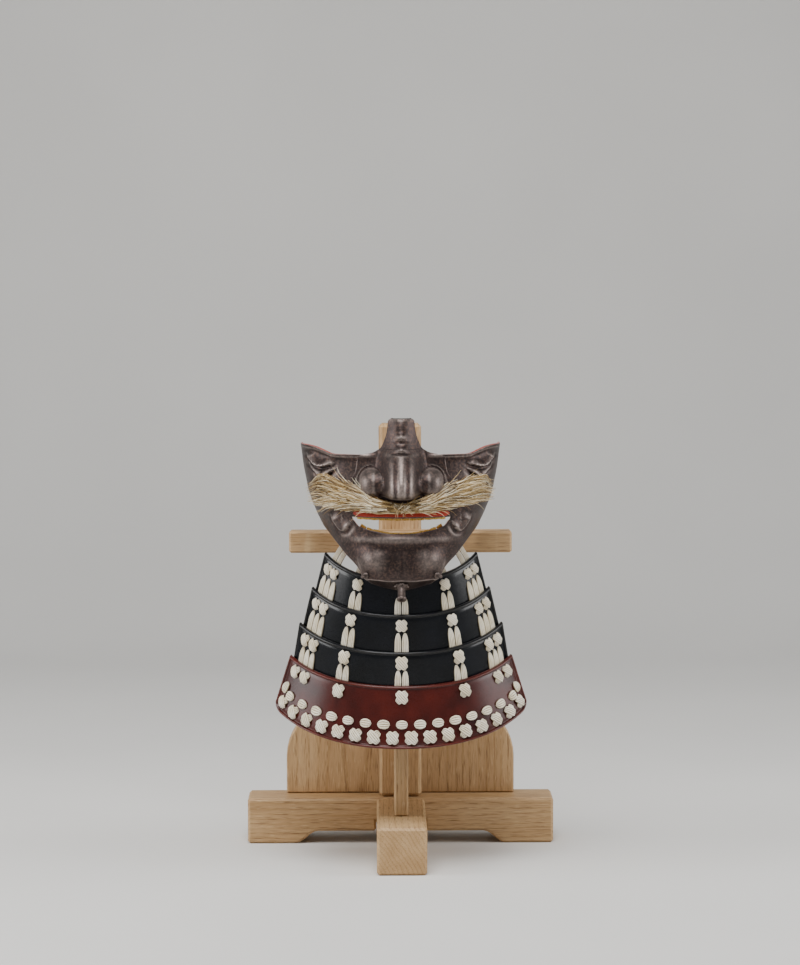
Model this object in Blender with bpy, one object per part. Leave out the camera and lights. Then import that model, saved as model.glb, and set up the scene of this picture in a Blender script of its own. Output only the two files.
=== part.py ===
"""An iron face mask with a laced throat guard, worn by a plain oak stand.

Metres, +Z up. The origin is on the floor under the middle of the stand, and the mask faces -Y.
"""
import math

import bmesh
import bpy
import numpy as np
from mathutils import Vector

for old in list(bpy.data.objects):
    bpy.data.objects.remove(old, do_unlink=True)

GAP = 0.0004                # clearance between pieces that sit on one another

# Mask
MASK_WIDTH = 0.174          # across the temples
MASK_DEPTH = 0.084          # rear edge to the front of the chin
MASK_HEIGHT = 0.121         # lower edge of the chin to the corner of the eye edge
CHIN_Z = 0.243              # lower edge of the chin above the floor
MASK_BACK = -0.068          # the rear edges
MASK_WALL = 0.0020
CHIN_TUCK = 0.014           # how far the surface under the chin slants back
SIDE_TUCK = 0.0025          # the same at the jaw's rear corners
EDGE_FLARE = 0.0016         # the eye edge turns outward by this much
MOUTH_CORNER = math.radians(35.5)
LIP_SHARE = 0.92            # of the mouth's width that the red lip crosses
NOSE_NOTCH = math.radians(21)

# Nose
NOSE_WALL, NOSE_CLEAR = 0.0016, 0.0009
NOSE_TOP_Z = CHIN_Z + 0.147
NOSE_FOOT_Z = CHIN_Z + 0.0785
NOSE_REACH = 0.029          # how far the tip stands in front of the cheeks
WING_OUT = 0.026            # middle of a nostril wing from the middle of the face
WING_WIDE, WING_TALL, WING_DEEP = 0.0092, 0.0135, 0.0125
PIN_OUT, PIN_Z, PIN_R, PIN_LENGTH = 0.0425, CHIN_Z + 0.0905, 0.0021, 0.0030

# Mouth
LIP_TALL, LIP_THICK = 0.0050, 0.0016
TOOTH_SHOW = 0.0032         # how far each row of teeth stands past the edge of the mouth
TOOTH_ROOT = 0.0030         # how far it runs behind the edge
TOOTH_THICK = 0.0014
UPPER_CLEAR, LOWER_CLEAR = 0.0008, 0.0018    # behind the wall, whose inner side is faceted
TEETH = 12                  # in a row

# Moustache
TUFT_START, TUFT_END = 0.003, 0.078
TUFT_THICK = 0.0075
TUFT_CLEAR = 0.0052         # back of the tufts in front of the cheeks

# Chin fittings
TUBE_R, TUBE_BORE, TUBE_LENGTH = 0.0033, 0.0020, 0.0135
COLLAR_R, COLLAR_THICK = 0.0062, 0.0016
PEG_OUT, PEG_Z, PEG_R, PEG_LENGTH = 0.0295, CHIN_Z + 0.0135, 0.0016, 0.0060

# Throat guard
LAME_WALL = 0.0016
LAME_HALF_ANGLE = math.radians(56.6)
LAME_STEP = 0.0043          # each lame stands this far in front of the one above
LAME_OVERLAP = 0.0070       # how far a lame runs down behind the next
RIM_TALL, RIM_OUT, RIM_FOOT = 0.0024, 0.0013, 0.0009
CORNER_R = 0.009            # lower corners of the lowest lame
# For the top edge of each lame and the bottom edge of the lowest: half its width, the depth of
# its front, its height at the middle, and how much higher its corners are.
EDGE_HALF = (0.0655, 0.0767, 0.0877, 0.0960, 0.1103)
EDGE_FRONT = (-0.1310, -0.1370, -0.1420, -0.1470, -0.1550)
EDGE_Z = tuple(CHIN_Z + up for up in (0.0090, -0.0211, -0.0527, -0.0811, -0.1337))
EDGE_RISE = (0.0190, 0.0190, 0.0195, 0.0195, 0.0270)
EDGE_CURVE = 2.25

# Lacing
BRAID_WIDE, BRAID_THICK, BRAID_GAP = 0.0060, 0.0011, 0.0005
KNOT_HALF, KNOT_BAR, KNOT_THICK = 0.0041, 0.0014, 0.0013
KNOT_SINGLE = 1.28          # the knots that stand alone are larger by this
KNOT_DOWN = 0.0094          # a knot below the rim of its lame
HOLE_HALF = 0.0023
BRAID_TOP = 0.0160          # top of a lame's vertical braids below its rim
MIDDLE_ANGLE = math.radians(27.2)
END_ANGLES = (math.radians(44.8), math.radians(50.6))

# Stand
FOOT_WIDE, FOOT_HIGH, FOOT_LONG = 0.043, 0.041, 0.311
BEAM_WIDE, BEAM_LONG = 0.043, 0.275
PAD_LONG, ARCH_RUN, ARCH_HIGH = 0.043, 0.020, 0.011
POST_WIDE, POST_THICK, POST_BACK, POST_TOP = 0.038, 0.019, 0.0030, CHIN_Z + 0.135
BOARD_WIDE, BOARD_THICK, BOARD_HIGH, BOARD_CORNER = 0.206, 0.012, 0.080, 0.046
RIB_THICK, RIB_FRONT, RIB_TOP = 0.012, -0.1045, CHIN_Z + 0.036
HORN_UNDER = 0.0145         # underside of the chin rest above the chin's lower edge
BAR_LONG, BAR_HIGH, BAR_THICK, BAR_Z, BAR_BACK = 0.196, 0.019, 0.020, CHIN_Z + 0.024, -0.040
EDGE_ROUND = 0.0022


def material(name, colour, roughness, metallic=0.0):
    made = bpy.data.materials.new(name)
    made.use_nodes = True
    shader = made.node_tree.nodes["Principled BSDF"]
    shader.inputs["Base Color"].default_value = (*colour, 1)
    shader.inputs["Roughness"].default_value = roughness
    shader.inputs["Metallic"].default_value = metallic
    return made


IRON = material("russet_iron", (0.045, 0.034, 0.031), 0.42, 0.75)
BLACK = material("black_lacquer", (0.012, 0.012, 0.014), 0.16)
BROWN = material("brown_lacquer", (0.060, 0.011, 0.008), 0.16)
RED = material("red_lacquer", (0.28, 0.012, 0.010), 0.30)
GILT = material("gilding", (0.62, 0.38, 0.10), 0.30, 0.9)
BRAID = material("silk_braid", (0.62, 0.57, 0.46), 0.85)
HAIR = material("horsehair", (0.47, 0.33, 0.17), 0.70)
OAK = material("oak", (0.47, 0.27, 0.11), 0.50)


def add(name, bm, look, round_piece=True):
    """Makes an object of a closed bmesh, with its faces turned outward."""
    bmesh.ops.recalc_face_normals(bm, faces=bm.faces)
    mesh = bpy.data.meshes.new(name)
    bm.to_mesh(mesh)
    bm.free()
    mesh.materials.append(look)
    made = bpy.data.objects.new(name, mesh)
    bpy.context.scene.collection.objects.link(made)
    if round_piece:
        mesh.shade_smooth()
        mesh.set_sharp_from_angle(angle=math.radians(38))
    return made


def prism(outline, low, high, axis):
    """A closed bmesh: an outline in the other two axes, drawn out along one of them."""
    def place(point, along):
        point = list(point)
        point.insert(axis, along)
        return point

    bm = bmesh.new()
    ends = [[bm.verts.new(place(p, along)) for p in outline] for along in (low, high)]
    for end in ends:
        bm.faces.new(end)
    for i, first in enumerate(ends[0]):
        j = (i + 1) % len(outline)
        bm.faces.new((first, ends[0][j], ends[1][j], ends[1][i]))
    return bm


def box(x, y, z):
    return prism([(x[0], y[0]), (x[1], y[0]), (x[1], y[1]), (x[0], y[1])], *z, 2)


def loft(rings, closed_ends=True):
    """A closed bmesh through rings of the same number of points, open rings' ends being capped."""
    bm = bmesh.new()
    rows = [[bm.verts.new(p) for p in ring] for ring in rings]
    count = len(rows[0])
    pairs = list(zip(rows, rows[1:]))
    if not closed_ends:
        pairs.append((rows[-1], rows[0]))
    for above, below in pairs:
        for i in range(count):
            j = (i + 1) % count
            bm.faces.new((above[i], above[j], below[j], below[i]))
    if closed_ends:
        bm.faces.new(rows[0])
        bm.faces.new(rows[-1])
    return bm


def sheet(outer, inner, left_out, fine):
    """A closed bmesh: a wall between a grid of outer points and one of inner points.

    The outer grid has `fine` steps for each step of the inner one. Cells of the inner grid in
    left_out are openings, and each edge of the wall is closed between the two grids.
    """
    bm = bmesh.new()
    made = {}

    def vertex(grid, i, j):
        key = (grid is outer, i, j)
        if key not in made:
            made[key] = bm.verts.new(grid[i, j])
        return made[key]

    def outside(i, j):
        return vertex(outer, i, j)

    def inside(i, j):
        return vertex(inner, i, j)

    across, down = inner.shape[0] - 1, inner.shape[1] - 1
    kept = {(a, b) for a in range(across) for b in range(down)} - set(left_out)
    for a, b in sorted(kept):
        bm.faces.new((inside(a, b), inside(a + 1, b), inside(a + 1, b + 1), inside(a, b + 1)))
        for i in range(a * fine, a * fine + fine):
            for j in range(b * fine, b * fine + fine):
                bm.faces.new((outside(i, j), outside(i, j + 1),
                              outside(i + 1, j + 1), outside(i + 1, j)))
        for beyond, first, last in (((a, b - 1), (a, b), (a + 1, b)),
                                    ((a, b + 1), (a, b + 1), (a + 1, b + 1)),
                                    ((a - 1, b), (a, b), (a, b + 1)),
                                    ((a + 1, b), (a + 1, b), (a + 1, b + 1))):
            if beyond in kept:
                continue
            step = (last[0] - first[0], last[1] - first[1])
            path = [outside(first[0] * fine + step[0] * n, first[1] * fine + step[1] * n)
                    for n in range(fine + 1)]
            start, end = inside(*first), inside(*last)
            for n in range(fine):
                bm.faces.new((path[n], path[n + 1], start if n == 0 else end))
            bm.faces.new((start, path[1], end))
    return bm


def join(name, pieces, look):
    """One object: the union of closed bmeshes that overlap clearly."""
    helpers = []
    for n, bm in enumerate(pieces):
        bmesh.ops.triangulate(bm, faces=bm.faces)
        helpers.append(add(f"{name}_{n}", bm, look, False))
    first = helpers[0]
    for other in helpers[1:]:
        union = first.modifiers.new("union", "BOOLEAN")
        # The exact solver loses these thin bent prisms, and this one keeps them.
        union.operation, union.solver, union.object = "UNION", "MANIFOLD", other
    bpy.context.view_layer.update()
    mesh = bpy.data.meshes.new_from_object(
        first.evaluated_get(bpy.context.evaluated_depsgraph_get()))
    for helper in helpers:
        bpy.data.objects.remove(helper, do_unlink=True)
    made = bpy.data.objects.new(name, mesh)
    bpy.context.scene.collection.objects.link(made)
    mesh.name = name
    return made


def cut(target, bm):
    """Takes a closed bmesh away from an object."""
    cutter = add(target.name + "_cutter", bm, target.data.materials[0], False)
    modifier = target.modifiers.new("cut", "BOOLEAN")
    modifier.operation, modifier.solver, modifier.object = "DIFFERENCE", "EXACT", cutter
    bpy.context.view_layer.update()
    mesh = bpy.data.meshes.new_from_object(
        target.evaluated_get(bpy.context.evaluated_depsgraph_get()))
    target.modifiers.clear()
    target.data = mesh
    bpy.data.objects.remove(cutter, do_unlink=True)


def curve(table, at):
    """A smooth line through a table of (place, value), level past its ends."""
    places = [row[0] for row in table]
    values = [row[1] for row in table]
    if at <= places[0]:
        return values[0]
    if at >= places[-1]:
        return values[-1]
    n = max(i for i, place in enumerate(places[:-1]) if place <= at)
    slopes = []
    for i in (n, n + 1):
        low, high = max(i - 1, 0), min(i + 1, len(places) - 1)
        slopes.append((values[high] - values[low]) / (places[high] - places[low]))
    span = places[n + 1] - places[n]
    t = (at - places[n]) / span
    return ((1 + 2 * t) * (1 - t) ** 2 * values[n] + t * (1 - t) ** 2 * span * slopes[0]
            + t * t * (3 - 2 * t) * values[n + 1] + t * t * (t - 1) * span * slopes[1])


# The face's level sections, from the chin's lower edge up: share of the height, then shares of
# half the width and of the depth.
FACE_HALF = ((0, .598), (.08, .632), (.124, .655), (.223, .695), (.331, .736), (.397, .764),
             (.521, .845), (.653, .914), (.76, .948), (.843, .971), (.942, .989), (1, 1))
FACE_DEPTH = ((0, 1), (.124, 1), (.223, .994), (.331, .976), (.397, .964), (.521, .935),
              (.653, .905), (.76, .881), (.843, .851), (.942, .81), (1, .786))
# Lines drawn round the face, from the middle to the rear edge: share of a right angle, then
# share of the height.
EYE_EDGE = ((0, .942), (.3, .944), (.4, .944), (.478, .948), (.557, .972), (.64, .992), (.75, 1),
            (1, 1))
NOSE_LINE = ((0, .686), (.3, .686), (1, .744))
LIP_TOP = ((0, .522), (.3, .524), (.394, .527), (1, .62))
LIP_LOW = ((0, .403), (.112, .406), (.21, .419), (.29, .432), (.36, .458), (.394, .500), (.55, .52),
           (1, .575))
JAW_EDGE = ((0, 0), (.12, .005), (.22, .018), (.31, .034), (.394, .060), (.42, .120), (.46, .155),
            (.552, .206), (.707, .312), (.889, .385), (1, .39))
RIDGE_UP = ((0, .079), (.22, .061), (.31, .048), (.394, .030), (.5, .034), (1, .036))


def face_section(angle, height):
    """A point of the plain face: round the face from its middle, and up from the chin's edge."""
    share = height / MASK_HEIGHT
    half = MASK_WIDTH / 2 * curve(FACE_HALF, share)
    depth = MASK_DEPTH * curve(FACE_DEPTH, share)
    return Vector((half * math.sin(angle),
                   MASK_BACK - depth * max(math.cos(angle), 0) ** 0.8,
                   CHIN_Z + height))


def plain_face(angle, height, lift=0.0):
    """The same point, raised along the face's normal."""
    step_a, step_h = math.radians(1.5), 0.0015
    end = math.pi / 2
    round_it = (face_section(min(angle + step_a, end), height)
                - face_section(max(angle - step_a, -end), height))
    up = face_section(angle, height + step_h) - face_section(angle, height - step_h)
    return face_section(angle, height) + lift * round_it.cross(up).normalized()


def bump(distance, reach):
    return math.exp(-(distance / reach) ** 2)


def to_line(x, z, points):
    """How far (x, z) is from a line through points."""
    best = 1.0
    for (ax, az), (bx, bz) in zip(points, points[1:]):
        run = (bx - ax) ** 2 + (bz - az) ** 2
        t = min(max(((x - ax) * (bx - ax) + (z - az) * (bz - az)) / run, 0), 1)
        best = min(best, math.hypot(x - ax - t * (bx - ax), z - az - t * (bz - az)))
    return best


# Folds beaten into each cheek, as (out from the middle, up from the chin's edge), and whether
# each one is raised or sunk.
FOLDS = (
    (0.0017, ((0.0850, 0.1120), (0.0660, 0.1045), (0.0545, 0.1100))),
    (-0.0013, ((0.0850, 0.1075), (0.0655, 0.0995), (0.0530, 0.1060))),
    (0.0017, ((0.0840, 0.1025), (0.0640, 0.0940), (0.0520, 0.1010))),
    (-0.0013, ((0.0830, 0.0970), (0.0640, 0.0885), (0.0500, 0.0955))),
    (0.0016, ((0.0585, 0.0680), (0.0550, 0.0560), (0.0470, 0.0470))),
    (-0.0012, ((0.0620, 0.0650), (0.0585, 0.0520), (0.0500, 0.0410))),
)
FOLD_REACH = 0.0027


def broad_relief(x, up):
    """The round forms, which the inner side follows too: cheeks, chin and the turned eye edge."""
    out = abs(x)
    cheek = 0.0030 * bump(out - 0.050, 0.017) * bump(up - 0.086, 0.013)
    chin = 0.0042 * bump(out - 0.0235, 0.0115) * bump(up - 0.0260, 0.0105)
    lip = 0.0022 * bump(out, 0.034) * bump(up - 0.0440, 0.0042)
    return cheek + chin + lip


def fine_relief(x, up):
    total = 0.0
    for height, points in FOLDS:
        total += height * bump(to_line(abs(x), up, points), FOLD_REACH)
    return total


def eye_flare(angle, height):
    edge = MASK_HEIGHT * curve(EYE_EDGE, abs(angle) / (math.pi / 2))
    return EDGE_FLARE * bump(edge - height, 0.0022)


def over_face(angle, height, clear):
    """A point that clears the face's relief, for what sits on the mask."""
    x = face_section(angle, height).x
    relief = broad_relief(x, height) + max(fine_relief(x, height), 0) + eye_flare(angle, height)
    return plain_face(angle, height, relief + clear)


LINES = (EYE_EDGE, NOSE_LINE, LIP_TOP, LIP_LOW)
ROWS = (5, 2, 1, 4, 1)              # coarse rows between the lines, the jaw's ridge and its edge
COLUMNS = (3, 3, 7)                 # coarse columns: the nose, to the mouth's corner, the cheek
FINE = 2


def between(stops, counts):
    """Places that divide each stretch between stops evenly."""
    places = [stops[0]]
    for low, high, count in zip(stops, stops[1:], counts):
        places += [low + (high - low) * (n + 1) / count for n in range(count)]
    return places


def face_angles(fine):
    half = between((0, NOSE_NOTCH, MOUTH_CORNER, math.pi / 2), [fine * n for n in COLUMNS])
    return [-a for a in half[:0:-1]] + half


def face_heights(angle, fine):
    share = abs(angle) / (math.pi / 2)
    stops = [MASK_HEIGHT * curve(line, share) for line in LINES]
    edge = curve(JAW_EDGE, share)
    stops += [MASK_HEIGHT * (edge + curve(RIDGE_UP, share)), MASK_HEIGHT * edge]
    return between(stops, [fine * n for n in ROWS])


def face_grid(fine, lift, relief):
    points = []
    for angle in face_angles(fine):
        heights = face_heights(angle, fine)
        tuck = curve(((0, CHIN_TUCK), (.22, CHIN_TUCK * .85), (.394, CHIN_TUCK * .45),
                      (.55, SIDE_TUCK * 1.6), (1, SIDE_TUCK)), abs(angle) / (math.pi / 2))
        column = []
        for row, height in enumerate(heights):
            plain = plain_face(angle, height)
            raised = eye_flare(angle, height) + lift + relief(plain.x, height)
            point = plain_face(angle, height, raised)
            under = max(row - (len(heights) - 1 - fine), 0) / fine
            inward = Vector((-math.sin(angle), math.cos(angle), 0)) * tuck * under
            column.append(point + inward)
        points.append(column)
    return np.array(points)


def normals(grid):
    """Outward normals of a grid whose first index runs to +X and second downward."""
    round_it = np.gradient(grid, axis=0)
    down = np.gradient(grid, axis=1)
    out = np.cross(down, round_it)
    return out / np.linalg.norm(out, axis=2, keepdims=True)


def mask_shell():
    outer = face_grid(FINE, 0, lambda x, up: broad_relief(x, up) + fine_relief(x, up))
    smooth = face_grid(1, 0, broad_relief)
    inner = smooth - MASK_WALL * normals(smooth)
    middle = sum(COLUMNS)
    nose = range(middle - COLUMNS[0], middle + COLUMNS[0])
    mouth = range(middle - COLUMNS[0] - COLUMNS[1], middle + COLUMNS[0] + COLUMNS[1])
    left_out = [(a, b) for a in nose for b in range(ROWS[0])]
    left_out += [(a, ROWS[0] + ROWS[1]) for a in mouth]
    return add("mask_shell", sheet(outer, inner, left_out, FINE), IRON)


# The nose piece's front from its top down: height as a share of the nose's height, half the
# plate's width, half the nose's width, and how far the nose stands out as a share of its reach.
NOSE_ROWS = (
    (1.000, .0088, .0150, .20), (.975, .0102, .0150, .24), (.900, .0110, .0155, .30),
    (.825, .0118, .0158, .41), (.780, .0126, .0160, .36), (.700, .0148, .0166, .53),
    (.640, .0168, .0170, .59), (.600, .0190, .0174, .54),
    (.565, .0230, .0178, .62), (.520, .0345, .0182, .69), (.460, .0362, .0184, .77),
    (.390, .0368, .0186, .85), (.320, .0376, .0187, .91), (.250, .0400, .0188, .97),
    (.190, .0440, .0188, 1.0), (.120, .0468, .0186, 1.0), (.060, .0480, .0182, .96),
    (.015, .0484, .0178, .88),
)
NOSE_UNDER = ((.86, -.0012), (.50, -.0018), (.12, -.0020))
NOSE_ACROSS = (-1, -.88, -.76, -.66, -.56, -.46, -.36, -.25, -.12)


def nose_point(share, half, nose_half, reach, depth_share=1.0, drop=0.0, across=0.0):
    height = NOSE_FOOT_Z + (NOSE_TOP_Z - NOSE_FOOT_Z) * share - CHIN_Z
    x = half * across
    wide = MASK_WIDTH / 2 * curve(FACE_HALF, height / MASK_HEIGHT)
    angle = math.asin(max(min(x / wide, 1), -1))
    plate = over_face(angle, height, NOSE_WALL + NOSE_CLEAR)
    ridge = max(1 - (x / nose_half) ** 2, 0) ** 0.75 * reach * NOSE_REACH
    flute = 0.0010 * (bump(abs(x) - 0.0095, 0.0028) - bump(abs(x) - 0.0052, 0.0024))
    ridge += flute * min(1, reach) * (1 if ridge > 0.004 else 0)
    up = height + CHIN_Z - (NOSE_FOOT_Z + WING_TALL)
    ball = 1 - ((abs(x) - WING_OUT) / WING_WIDE) ** 2 - (up / WING_TALL) ** 2
    wing = WING_DEEP * max(ball, 0) ** 0.5
    out = (ridge ** 3 + wing ** 3) ** (1 / 3)
    return plate + Vector((0, -out * depth_share, drop))


def nose_piece():
    places = list(NOSE_ACROSS) + [0.0] + [-a for a in reversed(NOSE_ACROSS)]
    rows = [(row, 1.0, 0.0) for row in NOSE_ROWS]
    rows += [(NOSE_ROWS[-1], share, drop) for share, drop in NOSE_UNDER]
    grid = np.array([[nose_point(*row, depth, drop, across) for row, depth, drop in rows]
                     for across in places])
    inner = grid - NOSE_WALL * normals(grid)
    last = len(rows) - 2
    nostrils = [(a, last) for a in (4, 5, len(places) - 7, len(places) - 6)]
    return add("nose_piece", sheet(grid, inner, nostrils, 1), IRON)


def arc_band(name, line, start, end, low, high, back, front, look, teeth=0):
    """A band round the face along one of its lines, from low to high past the line and from
    back to front of the face's plain surface. With teeth, its free edge is notched."""
    rings = []
    steps = max(teeth * 3, 20)
    for n in range(steps + 1):
        angle = start + (end - start) * n / steps
        height = MASK_HEIGHT * curve(line, abs(angle) / (math.pi / 2))
        notch = 0.55 if teeth and n % 3 == 0 else 1.0
        ends = (low, high * notch) if abs(high) < abs(low) else (low * notch, high)
        if not teeth:
            ends = (low, high)
        ring = []
        for up, out in ((ends[0], back), (ends[0], front), (ends[1], front), (ends[1], back)):
            plain = plain_face(angle, height + up)
            ring.append(plain_face(angle, height + up, out + broad_relief(plain.x, height + up)))
        rings.append(ring)
    return add(name, loft(rings), look, False)


def mouth_pieces():
    corner = MOUTH_CORNER * LIP_SHARE
    arc_band("upper_lip", LIP_TOP, -corner, corner, 0.0002, LIP_TALL, GAP, GAP + LIP_THICK, RED)
    reach = MOUTH_CORNER * 0.80
    front = -MASK_WALL - UPPER_CLEAR
    arc_band("upper_teeth", LIP_TOP, -reach, reach, -TOOTH_SHOW, TOOTH_ROOT,
             front - TOOTH_THICK, front, GILT, TEETH)
    front = -MASK_WALL - LOWER_CLEAR
    arc_band("lower_teeth", LIP_LOW, -reach, reach, -TOOTH_ROOT, TOOTH_SHOW,
             front - TOOTH_THICK, front, GILT, TEETH)


# A moustache tuft from the middle outward: share of its length, height of its middle above the
# chin's lower edge, and half its height.
TUFT = ((0, .0700, .0030), (.14, .0712, .0042), (.28, .0720, .0044), (.373, .0728, .0050),
        (.433, .0750, .0064), (.493, .0768, .0078), (.6, .0779, .0085), (.733, .0823, .0122),
        (.88, .0834, .0129), (1, .0821, .0108))
LOCKS = (0.72, 1.0, 0.80, 1.06, 0.82, 1.06, 0.80, 1.0, 0.72)


def tuft(side):
    rings = []
    steps = 12
    for n in range(steps + 1):
        share = n / steps
        x = TUFT_START + (TUFT_END - TUFT_START) * share
        middle = curve([(row[0], row[1]) for row in TUFT], share)
        half = curve([(row[0], row[2]) for row in TUFT], share)
        thick = TUFT_THICK * (0.55 + 0.45 * min(share * 3, 1)) * (1 - 0.25 * share)
        straight = MASK_BACK - MASK_DEPTH * (0.98 - 0.53 * max(share - 0.3, 0) / 0.7)
        ring = []
        for m in range(len(LOCKS) + 3):
            if m < len(LOCKS):
                turn = math.pi * (m + 0.5) / len(LOCKS)
                up = half * math.cos(turn)
                out = thick * math.sin(turn) ** 0.6 * LOCKS[m]
            else:
                up = half * (-0.75, 0, 0.75)[m - len(LOCKS)]
                out = 0.0
            height = middle + up
            wide = MASK_WIDTH / 2 * curve(FACE_HALF, height / MASK_HEIGHT)
            angle = math.asin(min(x / wide, 1))
            surface = over_face(angle, height, TUFT_CLEAR)
            y = min(surface.y, straight) - out - GAP
            fray = (0.0035 if m % 2 else -0.0020) * (n == steps)
            ring.append(Vector((side * (x + fray), y, CHIN_Z + height)))
        rings.append(ring)
    return add("moustache_" + ("left" if side < 0 else "right"), loft(rings), HAIR)


def turned(outline, base, axis, count=16):
    """A closed bmesh: a closed outline of (radius, along) turned about an axis from base."""
    axis = axis.normalized()
    aside = axis.orthogonal().normalized()
    other = axis.cross(aside)
    rings = []
    for n in range(count):
        turn = 2 * math.pi * n / count
        spoke = aside * math.cos(turn) + other * math.sin(turn)
        rings.append([base + spoke * r + axis * along for r, along in outline])
    return loft(rings, closed_ends=False)


def rod(base, axis, radius, length, count=10):
    axis = axis.normalized()
    aside = axis.orthogonal().normalized()
    other = axis.cross(aside)
    rings = []
    for share, along in ((1, 0), (1, 0.8), (0.6, 1)):
        rings.append([base + axis * length * along
                      + (aside * math.cos(2 * math.pi * n / count)
                         + other * math.sin(2 * math.pi * n / count)) * radius * share
                      for n in range(count)])
    return loft(rings)


def fittings(shell):
    ridge = face_section(0, MASK_HEIGHT * .079)
    edge = face_section(0, 0) + Vector((0, CHIN_TUCK, 0))
    slope = edge - ridge
    down = Vector((0, -abs(slope.z), -abs(slope.y))).normalized()
    seat = (ridge + edge) / 2
    cut(shell, rod(seat - down * 0.006, down, TUBE_BORE + GAP, 0.014, 12))
    start = seat + down * GAP
    outline = ((TUBE_BORE, 0), (COLLAR_R, 0), (COLLAR_R, COLLAR_THICK), (TUBE_R, COLLAR_THICK + .0006),
               (TUBE_R, TUBE_LENGTH - .002), (TUBE_R + .0007, TUBE_LENGTH - .0016),
               (TUBE_R + .0007, TUBE_LENGTH), (TUBE_BORE, TUBE_LENGTH))
    add("sweat_tube", turned(outline, start, down), IRON)
    for side, word in ((-1, "left"), (1, "right")):
        height = PEG_Z - CHIN_Z
        wide = MASK_WIDTH / 2 * curve(FACE_HALF, height / MASK_HEIGHT)
        angle = side * math.asin(PEG_OUT / wide)
        lift = broad_relief(PEG_OUT, height) + GAP + 0.0003
        base = plain_face(angle, height, lift)
        add("chin_peg_" + word, rod(base, plain_face(angle, height, lift + 1) - base,
                                    PEG_R, PEG_LENGTH), IRON)
        height = PIN_Z - CHIN_Z
        wide = MASK_WIDTH / 2 * curve(FACE_HALF, height / MASK_HEIGHT)
        angle = side * math.asin(PIN_OUT / wide)
        base = over_face(angle, height, NOSE_WALL + NOSE_CLEAR + GAP)
        add("nose_pin_" + word, rod(base, plain_face(angle, height, 1) - base,
                                    PIN_R, PIN_LENGTH), IRON)


def lame_point(lame, angle, down, lift=0.0):
    """A point of a lame's outer face: round the throat, down from its top edge, and outward."""
    share = down / (EDGE_Z[lame] - EDGE_Z[lame + 1])

    def mixed(edges):
        return edges[lame] + (edges[lame + 1] - edges[lame]) * share

    radius = mixed(EDGE_HALF) / math.sin(LAME_HALF_ANGLE)
    out = lift - (LAME_STEP * share if lame < 3 else 0)
    return Vector(((radius + out) * math.sin(angle),
                   mixed(EDGE_FRONT) + radius - (radius + out) * math.cos(angle),
                   mixed(EDGE_Z)
                   + mixed(EDGE_RISE) * (abs(angle) / LAME_HALF_ANGLE) ** EDGE_CURVE))


def lame_radius(lame):
    return (EDGE_HALF[lame] + EDGE_HALF[lame + 1]) / 2 / math.sin(LAME_HALF_ANGLE)


def knot_angles():
    return [-END_ANGLES[1], -END_ANGLES[0], -MIDDLE_ANGLE, 0.0, MIDDLE_ANGLE, *END_ANGLES]


def throat_lame(lame):
    radius = lame_radius(lame)
    hole = HOLE_HALF / radius
    rim = RIM_TALL / radius
    foot = RIM_FOOT / radius
    edges = {-LAME_HALF_ANGLE, LAME_HALF_ANGLE}
    for side in (-1, 1):
        edges |= {side * (LAME_HALF_ANGLE - rim), side * (LAME_HALF_ANGLE - rim - foot)}
    holes = []
    for angle in knot_angles():
        holes.append((angle - hole, angle + hole))
        edges |= set(holes[-1])
    for low, high in ((hole, MIDDLE_ANGLE - hole), (MIDDLE_ANGLE + hole, END_ANGLES[0] - hole)):
        for n in (1, 2):
            edges |= {low + (high - low) * n / 3, -low - (high - low) * n / 3}
    angles = sorted(edges)
    length = EDGE_Z[lame] - EDGE_Z[lame + 1] + (LAME_OVERLAP if lame < 3 else 0)
    downs = [0, RIM_TALL, RIM_TALL + RIM_FOOT, KNOT_DOWN - HOLE_HALF, KNOT_DOWN + HOLE_HALF]
    raised = [RIM_OUT, RIM_OUT, 0, 0, 0]
    if lame < 3:
        downs.append(length)
        raised.append(0)
    else:
        downs += [length - RIM_TALL - RIM_FOOT, length - RIM_TALL, length]
        raised += [0, RIM_OUT, RIM_OUT]
    outer, inner = [], []
    for angle in angles:
        near = (LAME_HALF_ANGLE - abs(angle)) * radius
        side = RIM_OUT if near < RIM_TALL + 1e-6 else 0
        outer_column, inner_column = [], []
        for down, lift in zip(downs, raised):
            low = down
            if lame == 3 and near < CORNER_R:
                cut_up = CORNER_R - math.sqrt(CORNER_R ** 2 - (CORNER_R - near) ** 2)
                low = down - cut_up * max(down - KNOT_DOWN, 0) / (length - KNOT_DOWN)
            outer_column.append(lame_point(lame, angle, low, max(lift, side)))
            inner_column.append(lame_point(lame, angle, low, -LAME_WALL))
        outer.append(outer_column)
        inner.append(inner_column)
    left_out = [(n, 3) for n, (low, high) in enumerate(zip(angles, angles[1:]))
                if any(abs(low - a) < 1e-9 and abs(high - b) < 1e-9 for a, b in holes)]
    add(f"throat_lame_{lame + 1}", sheet(np.array(outer), np.array(inner), left_out, 1),
        BROWN if lame == 3 else BLACK)


def wrap(outline, low, high, place):
    """A closed bmesh of an outline in (aside, down) between two lifts, bent by place()."""
    bm = bmesh.new()
    ends = [[bm.verts.new(place(u, w, lift)) for u, w in outline] for lift in (low, high)]
    for end in ends:
        bm.faces.new(end)
    for i in range(len(outline)):
        j = (i + 1) % len(outline)
        bm.faces.new((ends[0][i], ends[0][j], ends[1][j], ends[1][i]))
    return bm


def cross_outline(size=1.0):
    """The outline of two crossed bars."""
    long, bar = KNOT_HALF * size, KNOT_BAR * size
    plus = ((bar, bar), (long, bar), (long, -bar), (bar, -bar), (bar, -long), (-bar, -long),
            (-bar, -bar), (-long, -bar), (-long, bar), (-bar, bar), (-bar, long), (bar, long))
    turn = math.sqrt(0.5)
    return [((x - y) * turn, (x + y) * turn) for x, y in plus]


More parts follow.
